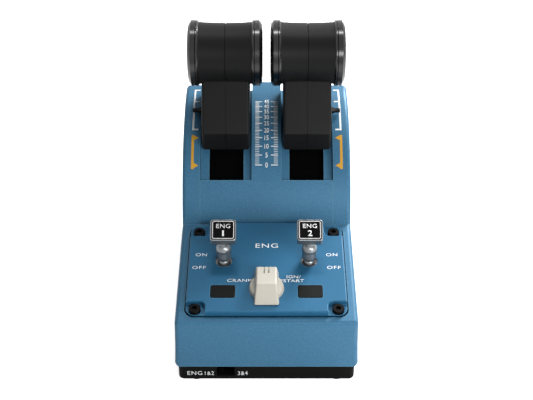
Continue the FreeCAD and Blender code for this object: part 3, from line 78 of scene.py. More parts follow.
# ---------------------------------------------------------------- node groups
class NodeSheet:
    """Small helper that wires a shader node tree from left to right."""

    def __init__(self, tree: bpy.types.NodeTree) -> None:
        """Keep the tree that is being wired.

        Args:
            tree: The material's or the group's node tree.
        """
        self.tree = tree

    def add(self, kind: str, **settings: object) -> bpy.types.Node:
        """Add a node and set its properties.

        Args:
            kind: The node's type name.
            **settings: Properties of the node.

        Returns:
            The new node.
        """
        node = self.tree.nodes.new(kind)
        for key, value in settings.items():
            setattr(node, key, value)
        return node

    def link(self, source: Socket, target: Socket) -> None:
        """Join two sockets."""
        self.tree.links.new(source, target)

    def feed(self, value: Value, target: Socket) -> None:
        """Link a socket to an input, or set the input's own value.

        Args:
            value: What the input gets.
            target: The input.
        """
        if isinstance(value, Socket):
            self.link(value, target)
        else:
            target.default_value = value

    def fill(self, node: bpy.types.Node, **inputs: Value) -> bpy.types.Node:
        """Feed several inputs of a node.

        Args:
            node: The node.
            **inputs: What each input gets, by the input's name.

        Returns:
            The same node.
        """
        for name, value in inputs.items():
            self.feed(value, node.inputs[name])
        return node

    def math(self, operation: str, first: Socket | float, second: Socket | float = 0.0,
             clamp: bool = False) -> Socket:
        """Add a Math node.

        Args:
            operation: The Math node's operation.
            first: A socket or a number.
            second: A socket or a number.
            clamp: Whether the result is kept between 0 and 1.

        Returns:
            The node's output socket.
        """
        node = self.add("ShaderNodeMath", operation=operation, use_clamp=clamp)
        for socket, value in zip(node.inputs, (first, second)):
            self.feed(value, socket)
        return node.outputs[0]

    def pattern(self, kind: str, **inputs: Value) -> bpy.types.Node:
        """Add a texture node on Object coordinates, whose scale is in repeats per metre.

        Args:
            kind: The texture node's type name.
            **inputs: What its inputs get.

        Returns:
            The texture node.
        """
        place = self.add("ShaderNodeTexCoord")
        return self.fill(self.add(kind), Vector=place.outputs["Object"], **inputs)

    def group(self, tree: bpy.types.NodeTree, **inputs: Value) -> bpy.types.Node:
        """Add a shared node group.

        Args:
            tree: The group.
            **inputs: What its inputs get.

        Returns:
            The group node.
        """
        return self.fill(self.add("ShaderNodeGroup", node_tree=tree), **inputs)

    def swing(self, pattern: Socket, amount: Socket) -> Socket:
        """Centre a pattern of 0 to 1 on zero and multiply it.

        Args:
            pattern: The pattern.
            amount: The whole swing.

        Returns:
            The swing's socket.
        """
        return self.math("MULTIPLY", self.math("SUBTRACT", pattern, 0.5), amount)

    def brighten(self, color: Socket, swing: Socket) -> Socket:
        """Multiply a colour by one plus a swing.

        Args:
            color: The colour.
            swing: What is added to one.

        Returns:
            The new colour's socket.
        """
        scaled = self.add("ShaderNodeVectorMath", operation="SCALE")
        self.fill(scaled, Vector=color, Scale=self.math("ADD", swing, 1.0))
        return scaled.outputs[0]


class SocketKind(Enum):
    """What a socket of a shared node group carries."""

    COLOR = "NodeSocketColor"
    NUMBER = "NodeSocketFloat"


@dataclass(frozen=True)
class GroupSocket:
    """One socket of a shared node group, with its value where it is an input."""

    name: str
    kind: SocketKind
    value: float | tuple[float, ...] | None = None


def start_group(name: str, inputs: Iterable[GroupSocket], outputs: Iterable[GroupSocket]
                ) -> tuple[NodeSheet, bpy.types.NodeOutputs, bpy.types.NodeInputs]:
    """Make an empty node group with named sockets.

    Args:
        name: The group's name.
        inputs: Its input sockets.
        outputs: Its output sockets.

    Returns:
        A sheet on the group's tree, the sockets that bring its inputs, and those that take its outputs.
    """
    tree = bpy.data.node_groups.new(name, "ShaderNodeTree")
    for direction, sockets in (("INPUT", inputs), ("OUTPUT", outputs)):
        for entry in sockets:
            made = tree.interface.new_socket(entry.name, in_out=direction, socket_type=entry.kind.value)
            if entry.value is not None:
                made.default_value = entry.value
    sheet = NodeSheet(tree)
    return sheet, sheet.add("NodeGroupInput").outputs, sheet.add("NodeGroupOutput").inputs


class SharedGroups:
    """Shader node groups that more than one finish uses, each built once."""

    GREY = (0.5, 0.5, 0.5, 1.0)      # colours that the groups start with
    PALE = (0.8, 0.8, 0.8, 1.0)
    GRAIN_DETAIL = 3.0
    MARKS_SCALE = 55.0       # patches per metre
    MARKS_DETAIL = 5.0
    MARKS_ROUGHNESS = 0.6
    MARKS_LIGHTNESS = 0.5    # lightness swing as a share of the roughness swing
    WEAR_RADIUS = 0.9        # reach of the painted edge highlight from an edge, in millimetres
    WEAR_SAMPLES = 4
    WEAR_START = 0.985       # cosine of the turn at which the painted highlight starts
    WEAR_GAIN = 6.0
    WEAR_BREAKS = 260.0      # breaks per metre
    WEAR_FLOOR = 0.4         # added to the breaks' pattern, so that the painted highlight never quite stops
    MIX_INPUTS = (6, 7)      # a Mix node's two colour inputs
    MIX_OUTPUT = 2           # and its colour output

    def __init__(self) -> None:
        """Build the groups."""
        self.flake = self._flake()
        self.grain = self._grain()
        self.handling = self._handling()
        self.edge_wear = self._edge_wear()

    def _flake(self) -> bpy.types.NodeTree:
        """Fine flakes in a paint: each cell is a little lighter or darker.

        Returns:
            The group's tree.
        """
        sheet, given, result = start_group(
            "paint_flake",
            [GroupSocket("Color", SocketKind.COLOR, self.GREY),
             GroupSocket("Scale", SocketKind.NUMBER, 3000.0),
             GroupSocket("Amount", SocketKind.NUMBER, 0.1)],
            [GroupSocket("Color", SocketKind.COLOR)])
        cells = sheet.pattern("ShaderNodeTexVoronoi", Scale=given["Scale"])
        bright = sheet.fill(sheet.add("ShaderNodeSeparateColor"), Color=cells.outputs["Color"])
        swing = sheet.swing(bright.outputs[0], given["Amount"])
        sheet.link(sheet.brighten(given["Color"], swing), result["Color"])
        return sheet.tree

    def _grain(self) -> bpy.types.NodeTree:
        """Moulded grain: a height for a bump and a roughness that follows it.

        Returns:
            The group's tree.
        """
        sheet, given, result = start_group(
            "moulded_grain",
            [GroupSocket("Scale", SocketKind.NUMBER, 2500.0),
             GroupSocket("Roughness", SocketKind.NUMBER, 0.5),
             GroupSocket("Spread", SocketKind.NUMBER, 0.1)],
            [GroupSocket("Height", SocketKind.NUMBER), GroupSocket("Roughness", SocketKind.NUMBER)])
        noise = sheet.pattern("ShaderNodeTexNoise", Scale=given["Scale"], Detail=self.GRAIN_DETAIL)
        sheet.link(noise.outputs[0], result["Height"])
        swing = sheet.swing(noise.outputs[0], given["Spread"])
        sheet.link(sheet.math("ADD", given["Roughness"], swing, clamp=True), result["Roughness"])
        return sheet.tree

    def _handling(self) -> bpy.types.NodeTree:
        """Broad, faint patches left by hands and dust, as a change of roughness and of lightness.

        Returns:
            The group's tree.
        """
        sheet, given, result = start_group(
            "handling_marks",
            [GroupSocket("Color", SocketKind.COLOR, self.GREY),
             GroupSocket("Roughness", SocketKind.NUMBER, 0.5),
             GroupSocket("Amount", SocketKind.NUMBER, 0.1)],
            [GroupSocket("Color", SocketKind.COLOR), GroupSocket("Roughness", SocketKind.NUMBER)])
        noise = sheet.pattern("ShaderNodeTexNoise", Scale=self.MARKS_SCALE, Detail=self.MARKS_DETAIL,
                              Roughness=self.MARKS_ROUGHNESS)
        swing = sheet.swing(noise.outputs[0], given["Amount"])
        sheet.link(sheet.math("ADD", given["Roughness"], swing, clamp=True), result["Roughness"])
        lightness = sheet.math("MULTIPLY", swing, self.MARKS_LIGHTNESS)
        sheet.link(sheet.brighten(given["Color"], lightness), result["Color"])
        return sheet.tree

    def _edge_wear(self) -> bpy.types.NodeTree:
        """Painted highlight on edges: a lighter colour where a small rounding would turn the surface,
        broken up by noise.

        Returns:
            The group's tree.
        """
        sheet, given, result = start_group(
            "edge_wear",
            [GroupSocket("Color", SocketKind.COLOR, self.GREY),
             GroupSocket("Worn", SocketKind.COLOR, self.PALE),
             GroupSocket("Amount", SocketKind.NUMBER, 0.2)],
            [GroupSocket("Color", SocketKind.COLOR)])
        shape = sheet.add("ShaderNodeNewGeometry")
        noise = sheet.pattern("ShaderNodeTexNoise", Scale=self.WEAR_BREAKS)
        rounding = sheet.fill(sheet.add("ShaderNodeBevel", samples=self.WEAR_SAMPLES),
                              Radius=self.WEAR_RADIUS * MM)
        align = sheet.add("ShaderNodeVectorMath", operation="DOT_PRODUCT")
        sheet.link(rounding.outputs["Normal"], align.inputs[0])
        sheet.link(shape.outputs["Normal"], align.inputs[1])
        past = sheet.math("SUBTRACT", self.WEAR_START, align.outputs["Value"])
        turned = sheet.math("MULTIPLY", past, self.WEAR_GAIN, clamp=True)
        breaks = sheet.math("ADD", noise.outputs[0], self.WEAR_FLOOR)
        broken = sheet.math("MULTIPLY", turned, breaks, clamp=True)
        share = sheet.math("MULTIPLY", broken, given["Amount"], clamp=True)
        mix = sheet.fill(sheet.add("ShaderNodeMix", data_type="RGBA"), Factor=share)
        for name, index in zip(("Color", "Worn"), self.MIX_INPUTS):
            sheet.link(given[name], mix.inputs[index])
        sheet.link(mix.outputs[self.MIX_OUTPUT], result["Color"])
        return sheet.tree


# ---------------------------------------------------------------- finishes
@dataclass(frozen=True)
class Finish:
    """One surface finish and the small variation that makes it look real.

    Attributes:
        name: The material's name.
        color: Linear base colour.
        roughness: Mean roughness.
        metallic: Share of metal in the surface.
        specular: Specular level of the bare surface.
        flake: Lightness swing of the flakes or pigment, 0 for none.
        flake_scale: Flakes per metre.
        grain: Depth of the moulded grain in millimetres.
        grain_scale: Grains per metre.
        spread: Swing of the roughness with the grain.
        handling: Swing of the broad patches.
        wear: Share of the painted edge highlight, a lighter colour where the surface turns.
        worn: The painted edge highlight's colour.
    """

    name: str
    color: tuple[float, float, float]
    roughness: float
    metallic: float = 0.0
    specular: float = 0.5
    flake: float = 0.06
    flake_scale: float = 2600.0
    grain: float = 0.01
    grain_scale: float = 2200.0
    spread: float = 0.12
    handling: float = 0.08
    wear: float = 0.0
    worn: tuple[float, float, float] = (0.6, 0.6, 0.6)

    def build(self, groups: SharedGroups) -> bpy.types.Material:
        """Make the material.

        Args:
            groups: The shared node groups.

        Returns:
            The new material.
        """
        material = bpy.data.materials.new(self.name)
        material.use_nodes = True
        material.diffuse_color = (*self.color, 1.0)
        sheet = NodeSheet(material.node_tree)
        shader = material.node_tree.nodes["Principled BSDF"]
        shader.inputs["Metallic"].default_value = self.metallic
        shader.inputs["Specular IOR Level"].default_value = self.specular
        flake = sheet.group(groups.flake, Color=(*self.color, 1.0), Scale=self.flake_scale,
                            Amount=self.flake)
        grain = sheet.group(groups.grain, Scale=self.grain_scale, Roughness=self.roughness,
                            Spread=self.spread)
        marks = sheet.group(groups.handling, Color=flake.outputs["Color"],
                            Roughness=grain.outputs["Roughness"], Amount=self.handling)
        color = marks.outputs["Color"]
        # painted highlight: the edges turn to a lighter colour in place of light caught by their rounding
        if self.wear:
            highlit = sheet.group(groups.edge_wear, Color=color, Worn=(*self.worn, 1.0), Amount=self.wear)
            color = highlit.outputs["Color"]
        bump = sheet.fill(sheet.add("ShaderNodeBump"), Height=grain.outputs["Height"],
                          Distance=self.grain * MM, Strength=1.0)
        sheet.link(color, shader.inputs["Base Color"])
        sheet.fill(shader, Roughness=marks.outputs["Roughness"], Normal=bump.outputs["Normal"])
        return material


FINISHES = {finish.name: finish for finish in (
    # the two blue paints carry a painted highlight along their edges
    Finish("blue_paint", (0.050, 0.164, 0.278), 0.42, metallic=0.1, specular=0.15, flake=0.3,
           flake_scale=2400.0, grain=0.004, handling=0.1, wear=0.7, worn=(0.16, 0.38, 0.52)),
    Finish("panel_paint", (0.024, 0.130, 0.248), 0.34, metallic=0.1, specular=0.16, flake=0.1,
           flake_scale=2400.0, grain=0.002, handling=0.05, wear=0.7, worn=(0.16, 0.38, 0.52)),
    Finish("black_plastic", (0.006, 0.006, 0.0055), 0.5, specular=0.03, grain=0.01),
    Finish("handle_black", (0.0065, 0.0065, 0.0065), 0.46, specular=0.11, grain=0.012,
           grain_scale=3000.0),
    Finish("gloss_black", (0.002, 0.002, 0.002), 0.2, specular=0.5, grain=0.0003, handling=0.03),
    # near-black and dull, darker than the black plastic: painted shade for parts deep in slots and
    # windows, and for black marks in joints and recesses
    Finish("cavity_black", (0.0012, 0.0012, 0.0012), 0.8, specular=0.02, grain=0.01),
    Finish("red_plastic", (0.42, 0.012, 0.010), 0.32, grain=0.003),
    Finish("grey_plastic", (0.16, 0.16, 0.17), 0.5),
    Finish("ivory_plastic", (0.58, 0.55, 0.475), 0.38, flake=0.03, grain=0.004, handling=0.04),
    Finish("satin_metal", (0.22, 0.235, 0.245), 0.3, metallic=0.75, flake=0.05, grain=0.003),
    Finish("dark_steel", (0.2, 0.2, 0.21), 0.24, metallic=1.0, grain=0.001),
    Finish("steel", (0.55, 0.56, 0.57), 0.3, metallic=1.0, grain=0.002),
    Finish("brass", (0.75, 0.55, 0.25), 0.28, metallic=1.0, grain=0.002),
    Finish("rubber", (0.008, 0.008, 0.008), 0.8, specular=0.1, grain=0.02),
    Finish("circuit_board", (0.015, 0.13, 0.055), 0.35, flake=0.1, grain=0.003),
    Finish("button_black", (0.0075, 0.0078, 0.0080), 0.5, specular=0.06, grain=0.005),
    Finish("screw_black", (0.001, 0.001, 0.001), 0.45, specular=0.06, grain=0.004),
    Finish("white_ink", (0.90, 0.92, 0.92), 0.5, flake=0.02, grain=0.002),
    Finish("amber_ink", (0.66, 0.34, 0.02), 0.5, flake=0.03, grain=0.002),
    Finish("legend_black", (0.0015, 0.0015, 0.0015), 0.4, specular=0.05, grain=0.001),
    Finish("legend_white", (0.95, 0.95, 0.95), 0.4, flake=0.02, grain=0.001),
    Finish("contact_gold", (0.85, 0.6, 0.25), 0.25, metallic=1.0, grain=0.001),
)}


class PaintShop:
    """Builds each finish once and gives it to pieces and CAD nodes."""

    def __init__(self) -> None:
        """Build every finish."""
        groups = SharedGroups()
        self.materials = {name: finish.build(groups) for name, finish in FINISHES.items()}
        self.dressed: set[str] = set()

    def dress(self, node: str, finish: str) -> None:
        """Give a CAD node its finish.

        Args:
            node: The node's name.
            finish: A key of FINISHES.
        """
        for slot in frame["nodes"][node].material_slots:
            slot.material = self.materials[finish]
        self.dressed.add(node)

    def check(self) -> None:
        """Report every CAD node that no sub-assembly dressed."""
        for node in sorted(set(frame["nodes"]) - self.dressed):
            log.warning("%s has no finish", node)


# ---------------------------------------------------------------- places on the surface
@dataclass(frozen=True)
class Seat:
    """A spot on the surface with its directions, in millimetres in the part's frame."""

    origin: Vector
    right: Vector
    up: Vector

    @property
    def out(self) -> Vector:
        """The direction out of the surface."""
        return self.right.cross(self.up)

    def inward(self, depth: float) -> Vector:
        """The way down to a depth under the surface, in metres."""
        return -self.out * depth * MM

    def matrix(self) -> Matrix:
        """Transform from (right, up, out) on the seat, in millimetres, to metres in the part's frame."""
        turn = Matrix((self.right, self.up, self.out)).transposed().to_4x4()
        return Matrix.Scale(MM, 4) @ Matrix.Translation(self.origin) @ turn

    def moved(self, up: float = 0.0, out: float = 0.0) -> "Seat":
        """The same seat moved along its own directions.

        Args:
            up: Distance up.
            out: Distance out of the surface.

        Returns:
            The moved seat.
        """
        return Seat(self.origin + self.up * up + self.out * out, self.right, self.up)


def joint_point(name: str) -> Vector:
    """A joint's point in millimetres."""
    return Vector(JOINTS[name]["pos_m"]) / MM


class Deck:
    """The sloping top of the control plate, measured from the selector's axis."""

    def __init__(self) -> None:
        """Read the slope from the selector's joint."""
        self.middle = joint_point("selector_turn")
        self.up = Vector(JOINTS["selector_turn"]["axis"]).normalized().cross(ACROSS)

    def seat(self, x: float, ahead: float) -> Seat:
        """A seat on the plate.

        Args:
            x: Distance from the middle plane.
            ahead: Distance up the deck from the selector's axis.

        Returns:
            The seat.
        """
        return Seat(self.middle + ACROSS * x + self.up * ahead, ACROSS, self.up)


class Arch:
    """A round surface about a line along X: the side strips or the spine."""

    def __init__(self, center: Vector, radius: float, axle: Vector) -> None:
        """Keep the surface's circle.

        Args:
            center: The circle's centre.
            radius: Its radius.
            axle: The levers' axle, about which angles are given.
        """
        self.center = center
        self.radius = radius
        self.axle = axle

    def seat(self, x: float, phi: float) -> Seat:
        """A seat on the surface.

        Args:
            x: Distance from the middle plane.
            phi: Angle about the axle in degrees, rising from the pilot's side.

        Returns:
            The seat.
        """
        angle = math.radians(phi)
        ray = Vector((0.0, -math.cos(angle), math.sin(angle)))
        back = self.axle - self.center
        half = back.dot(ray)
        reach = -half + math.sqrt(half * half - back.length_squared + self.radius * self.radius)
        point = self.axle + ray * reach
        out = (point - self.center).normalized()
        return Seat(Vector((x, point.y, point.z)), ACROSS, out.cross(ACROSS))


# ---------------------------------------------------------------- prints and other pieces on a surface
@dataclass(frozen=True)
class Lettering:
    """How words are set.

    Attributes:
        height: Height of a capital.
        squeeze: Width as a share of the font's own.
        weight: How much the strokes are swollen, in the font's own units.
        spacing: Letter spacing as a share of the font's own.
    """

    height: float
    squeeze: float
    weight: float
    spacing: float = 1.0


@dataclass(frozen=True)
class Legend:
    """One word, its place on a flat face and its lettering."""

    text: str
    x: float
    along: float
    lettering: Lettering


class Print:
    """One small piece laid on a surface: lettering, bars, ribbons, outlines and tiles in a single mesh."""

    CURVE_STEPS = 4          # points on each curve of a letter
    RIBBON_STEPS = 4         # fewest steps of a ribbon, which otherwise has one a degree

    def __init__(self, name: str) -> None:
        """Start an empty piece.

        Args:
            name: The piece's name.
        """
        self.name = name
        self.mesh = bmesh.new()

    def letters(self, text: str, seat: Seat, lettering: Lettering) -> None:
        """Set a word, centred on a seat.

        Args:
            text: The word.
            seat: Where the middle of the word lies.
            lettering: How it is set.
        """
        curve = bpy.data.curves.new(self.name + "_word", "FONT")
        curve.body = text
        curve.offset = lettering.weight
        curve.space_character = lettering.spacing
        curve.resolution_u = self.CURVE_STEPS
        word = bpy.data.objects.new(curve.name, curve)
        bpy.context.scene.collection.objects.link(word)
        bpy.context.view_layer.update()
        posed = word.evaluated_get(bpy.context.evaluated_depsgraph_get())
        flat = bpy.data.meshes.new_from_object(posed)
        bpy.data.objects.remove(word)
        bpy.data.curves.remove(curve)
        low = [min(v.co[axis] for v in flat.vertices) for axis in (0, 1)]
        high = [max(v.co[axis] for v in flat.vertices) for axis in (0, 1)]
        middle = Vector(((low[0] + high[0]) / 2, (low[1] + high[1]) / 2, 0.0))
        size = lettering.height / (high[1] - low[1])
        fit = Matrix.Diagonal((size * lettering.squeeze, size, 1.0, 1.0)) @ Matrix.Translation(-middle)
        flat.transform(seat.matrix() @ Matrix.Translation((0.0, 0.0, INK)) @ fit)
        piece = bmesh.new()
        piece.from_mesh(flat)
        bpy.data.meshes.remove(flat)
        bmesh.ops.remove_doubles(piece, verts=piece.verts, dist=WELD)
        self._take(piece, seat.inward(INK))

    def bar(self, seat: Seat, width: float, length: float, thick: float = INK) -> None:
        """Lay a straight bar, centred on a seat.

        Args:
            seat: The bar's middle.
            width: Its size across.
            length: Its size up.
            thick: Its height out of the surface.
        """
        shape = Matrix.Translation((0.0, 0.0, thick / 2)) @ Matrix.Diagonal((width, length, thick, 1.0))
        bmesh.ops.create_cube(self.mesh, size=1.0, matrix=seat.matrix() @ shape)

    def wedge(self, seat: Seat, reach: float, spread: float) -> None:
        """Lay a triangle that points along the seat's right.

        Args:
            seat: The middle of the triangle's base.
            reach: Distance from base to tip, negative to point left.
            spread: Length of the base.
        """
        piece = bmesh.new()
        place = seat.matrix()
        points = ((0, -spread / 2, INK), (reach, 0, INK), (0, spread / 2, INK))
        corners = [place @ Vector(point) for point in points]
        piece.faces.new([piece.verts.new(corner) for corner in corners])
        self._take(piece, seat.inward(INK))

    def ribbon(self, arch: Arch, x: float, width: float, phi: tuple[float, float]) -> None:
        """Lay a band that follows an arch.

        Args:
            arch: The surface.
            x: The band's middle.
            width: Its size across.
            phi: Its first and last angle.
        """
        steps = max(self.RIBBON_STEPS, round(abs(phi[1] - phi[0])))
        piece = bmesh.new()
        seat = arch.seat(x, phi[0])
        shape = Matrix.Translation((0.0, 0.0, INK / 2)) @ Matrix.Rotation(math.pi / 2, 4, "X")
        bmesh.ops.create_grid(piece, x_segments=1, y_segments=1, size=0.5,
                              matrix=seat.matrix() @ shape @ Matrix.Diagonal((width, INK, 1.0, 1.0)))
        bmesh.ops.spin(piece, geom=piece.verts[:] + piece.edges[:] + piece.faces[:], cent=arch.center * MM,
                       axis=ACROSS, angle=math.radians(phi[0] - phi[1]), steps=steps, use_merge=False)
        self._take(piece)

    def outline(self, seat: Seat, width: float, height: float, radius: float, line: float,
                depth: float = INK) -> None:
        """Lay a rounded rectangle drawn as a thin line.

        Args:
            seat: The rectangle's middle.
            width: Its size across, over the line.
            height: Its size up.
            radius: Outer corner radius.
            line: The line's width.
            depth: The line's height, from just above the seat down.
        """
        piece = rounded_face(width, height, radius, INK)
        inner = piece.faces[:]
        bmesh.ops.inset_region(piece, faces=inner, thickness=line, use_boundary=True,
                               use_even_offset=True)
        bmesh.ops.delete(piece, geom=inner, context="FACES")
        bmesh.ops.transform(piece, matrix=seat.matrix(), verts=piece.verts)
        self._take(piece, seat.inward(depth))

    def tile(self, seat: Seat, width: float, height: float, radius: float, thick: float) -> None:
        """Lay a solid rounded rectangle.

        Args:
            seat: The tile's middle.
            width: Its size across.
            height: Its size up.
            radius: Corner radius.
            thick: Its height out of the surface.
        """
        piece = rounded_face(width, height, radius, thick)
        bmesh.ops.transform(piece, matrix=seat.matrix(), verts=piece.verts)
        self._take(piece, seat.inward(thick))

    def _take(self, piece: bmesh.types.BMesh, depth: Vector | None = None) -> None:
        """Add another mesh to this one.

        Args:
            piece: The mesh, which is used up.
            depth: Where an open face is given, how far it is extruded down to the surface.
        """
        if depth is not None:
            walls = bmesh.ops.extrude_face_region(piece, geom=piece.faces[:], use_keep_orig=True)
            moved = [item for item in walls["geom"] if isinstance(item, bmesh.types.BMVert)]
            bmesh.ops.translate(piece, verts=moved, vec=depth)
        bmesh.ops.recalc_face_normals(piece, faces=piece.faces)
        carrier = bpy.data.meshes.new("carrier")
        piece.to_mesh(carrier)
        piece.free()
        self.mesh.from_mesh(carrier)
        bpy.data.meshes.remove(carrier)

    def finish(self, body: str, material: bpy.types.Material) -> None:
        """Make the object and let it ride on its body.

        Args:
            body: The CAD body that carries it.
            material: Its finish.
        """
        data = bpy.data.meshes.new(self.name)
        self.mesh.to_mesh(data)
        self.mesh.free()
        data.materials.append(material)
        piece = bpy.data.objects.new(self.name, data)
        bpy.context.scene.collection.objects.link(piece)
        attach(piece, body)
        log.info("%s: %d faces on %s", self.name, len(data.polygons), body)


def rounded_face(width: float, height: float, radius: float, level: float,
                 segments: int = 6) -> bmesh.types.BMesh:
    """A flat face with rounded corners.

    Args:
        width: Size along x.
        height: Size along y.
        radius: Corner radius.
        level: Its height.
        segments: Steps in each corner.

    Returns:
        A new mesh in the seat's own millimetres.
    """
    piece = bmesh.new()
    shape = Matrix.Translation((0.0, 0.0, level)) @ Matrix.Diagonal((width, height, 1.0, 1.0))
    bmesh.ops.create_grid(piece, x_segments=1, y_segments=1, size=0.5, matrix=shape)
    bmesh.ops.bevel(piece, geom=piece.verts[:], offset=radius, offset_type="OFFSET", segments=segments,
                    profile=0.5, affect="VERTICES", material=-1)
    return piece


# ---------------------------------------------------------------- sub-assemblies
@dataclass
class SubAssembly:
    """A group of CAD nodes with their finishes, and the pieces that are built on them.

    Attributes:
        shop: The shop that holds the finishes.
    """

    shop: PaintShop

    def finishes(self) -> dict[str, str]:
        """The finish of each CAD node of this sub-assembly."""
        return {}

    def dress(self) -> None:
        """Give every CAD node of this sub-assembly its finish."""
        for node, finish in self.finishes().items():
            self.shop.dress(node, finish)

    def build(self) -> None:
        """Build the pieces that the CAD nodes do not have."""


@dataclass
class PaintedCasing(SubAssembly):
    """Painted shells with the scale on the spine and the range brackets beside the levers.

    Angles are in degrees about the levers' axle, rising from the pilot's side, and every x is from the
    middle plane.
    """

    arch_radius: float = 99.5
    spine_radius: float = 107.5
    spine_back: float = 8.0            # spine's centre behind the axle, along the foot's ray
    spine_foot: float = 39.2           # angle of the spine's foot
    stops: tuple[float, ...] = (45.8, 50.2, 54.2, 58.2, 61.8, 65.3, 68.5, 71.6, 74.5, 77.4)
    step: int = 5                      # from one number to the next, and ticks between them
    digits: Lettering = Lettering(4.0, 0.74, 0.016)
    tick_outer: float = 8.45
    tick_inner: float = 3.33
    minor_inner: float = 5.42
    major_line: float = 0.68
    minor_line: float = 0.38
    bracket_x: tuple[float, float] = (-55.0, 55.6)
    amber_line: float = 1.9
    amber_phi: tuple[float, float] = (44.0, 59.6)
    wedge_phi: tuple[float, float] = (45.6, 58.3)
    wedge_reach: float = 3.9
    wedge_spread: float = 4.4
    wedge_bite: float = 0.3            # how far a wedge lies over the amber line
    white_line: float = 1.35
    white_phi: tuple[float, float] = (62.2, 87.5)
    white_ticks: tuple[float, ...] = (62.4, 78.6, 87.2)
    tick_reach: float = 4.6

    def finishes(self) -> dict[str, str]:
        """The painted shells and covers."""
        nodes = ("front_housing", "left_side_shell", "right_side_shell", "rear_cover", "quadrant_cover",
                 "left_slot_frame", "right_slot_frame")
        return {node: "blue_paint" for node in nodes}

    def build(self) -> None:
        """Print the scale and the brackets."""
        axle = joint_point("left_throttle")
        axle.x = 0.0
        self._scale(axle)
        self._brackets(Arch(axle, self.arch_radius, axle))

    def _scale(self, axle: Vector) -> None:
        """Print numbers and ticks along the spine.

        Args:
            axle: The levers' axle on the middle plane.
        """
        ray = math.radians(self.spine_foot)
        center = axle + Vector((0.0, math.cos(ray), -math.sin(ray))) * self.spine_back
        spine = Arch(center, self.spine_radius, axle)
        plate = Print("spine_scale")
        for count, phi in enumerate(self.stops):
            plate.letters(str(count * self.step), spine.seat(0.0, phi), self.digits)
            self._ticks(plate, spine, phi, self.tick_inner, self.major_line)
            if count + 1 < len(self.stops):
                gap = self.stops[count + 1] - phi
                for minor in range(1, self.step):
                    between = phi + gap * minor / self.step
                    self._ticks(plate, spine, between, self.minor_inner, self.minor_line)
        plate.finish("casing", self.shop.materials["white_ink"])

    def _ticks(self, plate: Print, spine: Arch, phi: float, inner: float, line: float) -> None:
        """Lay one pair of ticks.

        Args:
            plate: The piece that takes them.
            spine: The surface.
            phi: Their angle.
            inner: Their inner end from the middle plane.
            line: Their width.
        """
        for side in Side:
            middle = side.value * (self.tick_outer + inner) / 2
            plate.bar(spine.seat(middle, phi), self.tick_outer - inner, line)

    def _brackets(self, arch: Arch) -> None:
        """Print the amber and the white bracket on both side strips.

        Args:
            arch: The strips' surface.
        """
        amber, white = Print("reverse_brackets"), Print("idle_brackets")
        for side, x in zip(Side, self.bracket_x):
            amber.ribbon(arch, x, self.amber_line, self.amber_phi)
            edge = x - side.value * (self.amber_line / 2 - self.wedge_bite)
            for phi in self.wedge_phi:
                amber.wedge(arch.seat(edge, phi), -side.value * self.wedge_reach, self.wedge_spread)
            white.ribbon(arch, x, self.white_line, self.white_phi)
            for phi in self.white_ticks:
                middle = x - side.value * (self.tick_reach - self.white_line) / 2
                white.bar(arch.seat(middle, phi), self.tick_reach, self.white_line)
        amber.finish("casing", self.shop.materials["amber_ink"])
        white.finish("casing", self.shop.materials["white_ink"])


@dataclass
class BaseTray(SubAssembly):
    """Black tray with its slide switch, feet, screws and the words beside the switch."""

    words: tuple[Legend, ...] = (
        Legend("ENG", -50.3, 8.5, Lettering(3.5, 1.04, 0.0, 1.12)),
        Legend("1&2", -40.1, 8.35, Lettering(3.5, 0.86, 0.004, 1.1)),
        Legend("3&4", -16.7, 8.35, Lettering(3.5, 0.86, 0.004, 1.1)),
    )
    cross: tuple[float, float] = (0.8, 3.2)            # width and length of each bar of a black cross, painted shade of a recess
    foot_screw_x: float = 56.0
    foot_screw_y: tuple[float, ...] = (-60.0, 30.0, 70.0)
    foot_screw_z: float = 2.9
    rear_screw_x: float = 42.0
    rear_screw_z: tuple[float, ...] = (26.4, 114.4)
    rear_foot: tuple[float, float] = (99.8, 15.7)      # y and z where the rear heads' plane starts
    rear_lean: float = 0.0796                          # its slope towards the pilot

    def finishes(self) -> dict[str, str]:
        """The tray and what is fixed to it."""
        # the slide switch's body and knob, deep in their window, take the near-black of painted shade
        return {"base_tray": "black_plastic", "slide_switch_body": "cavity_black",
                "slide_switch_knob": "cavity_black", "rubber_feet": "rubber", "mount_inserts": "brass",
                "case_screws": "dark_steel", "friction_screws": "dark_steel"}

    def build(self) -> None:
        """Print the words in white and paint the screws' cross recesses as black crosses of shade."""
        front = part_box("base_tray")[0].y / MM
        plate = Print("tray_legends")
        for word in self.words:
            seat = Seat(Vector((word.x, front, word.along)), ACROSS, UPRIGHT)
            plate.letters(word.text, seat, word.lettering)
        plate.finish("casing", self.shop.materials["white_ink"])
        # black crosses on the screw heads: painted shade in place of their cross recesses
        crosses = Print("screw_crosses")
        for seat in self._screws():
            crosses.bar(seat, *self.cross)
            crosses.bar(seat, *reversed(self.cross))
        crosses.finish("casing", self.shop.materials["cavity_black"])

    def _screws(self) -> list[Seat]:
        """Find the screw heads under the tray and in the rear cover.

        Returns:
            A seat on each head's face.
        """
        seats = []
        rise = Vector((0.0, -self.rear_lean, 1.0)).normalized()
        for side in Side:
            for y in self.foot_screw_y:
                foot = Vector((side.value * self.foot_screw_x, y, self.foot_screw_z))
                seats.append(Seat(foot, ACROSS, Vector((0.0, -1.0, 0.0))))
            for z in self.rear_screw_z:
                y = self.rear_foot[0] - (z - self.rear_foot[1]) * self.rear_lean
                seats.append(Seat(Vector((side.value * self.rear_screw_x, y, z)), -ACROSS, rise))
        return seats


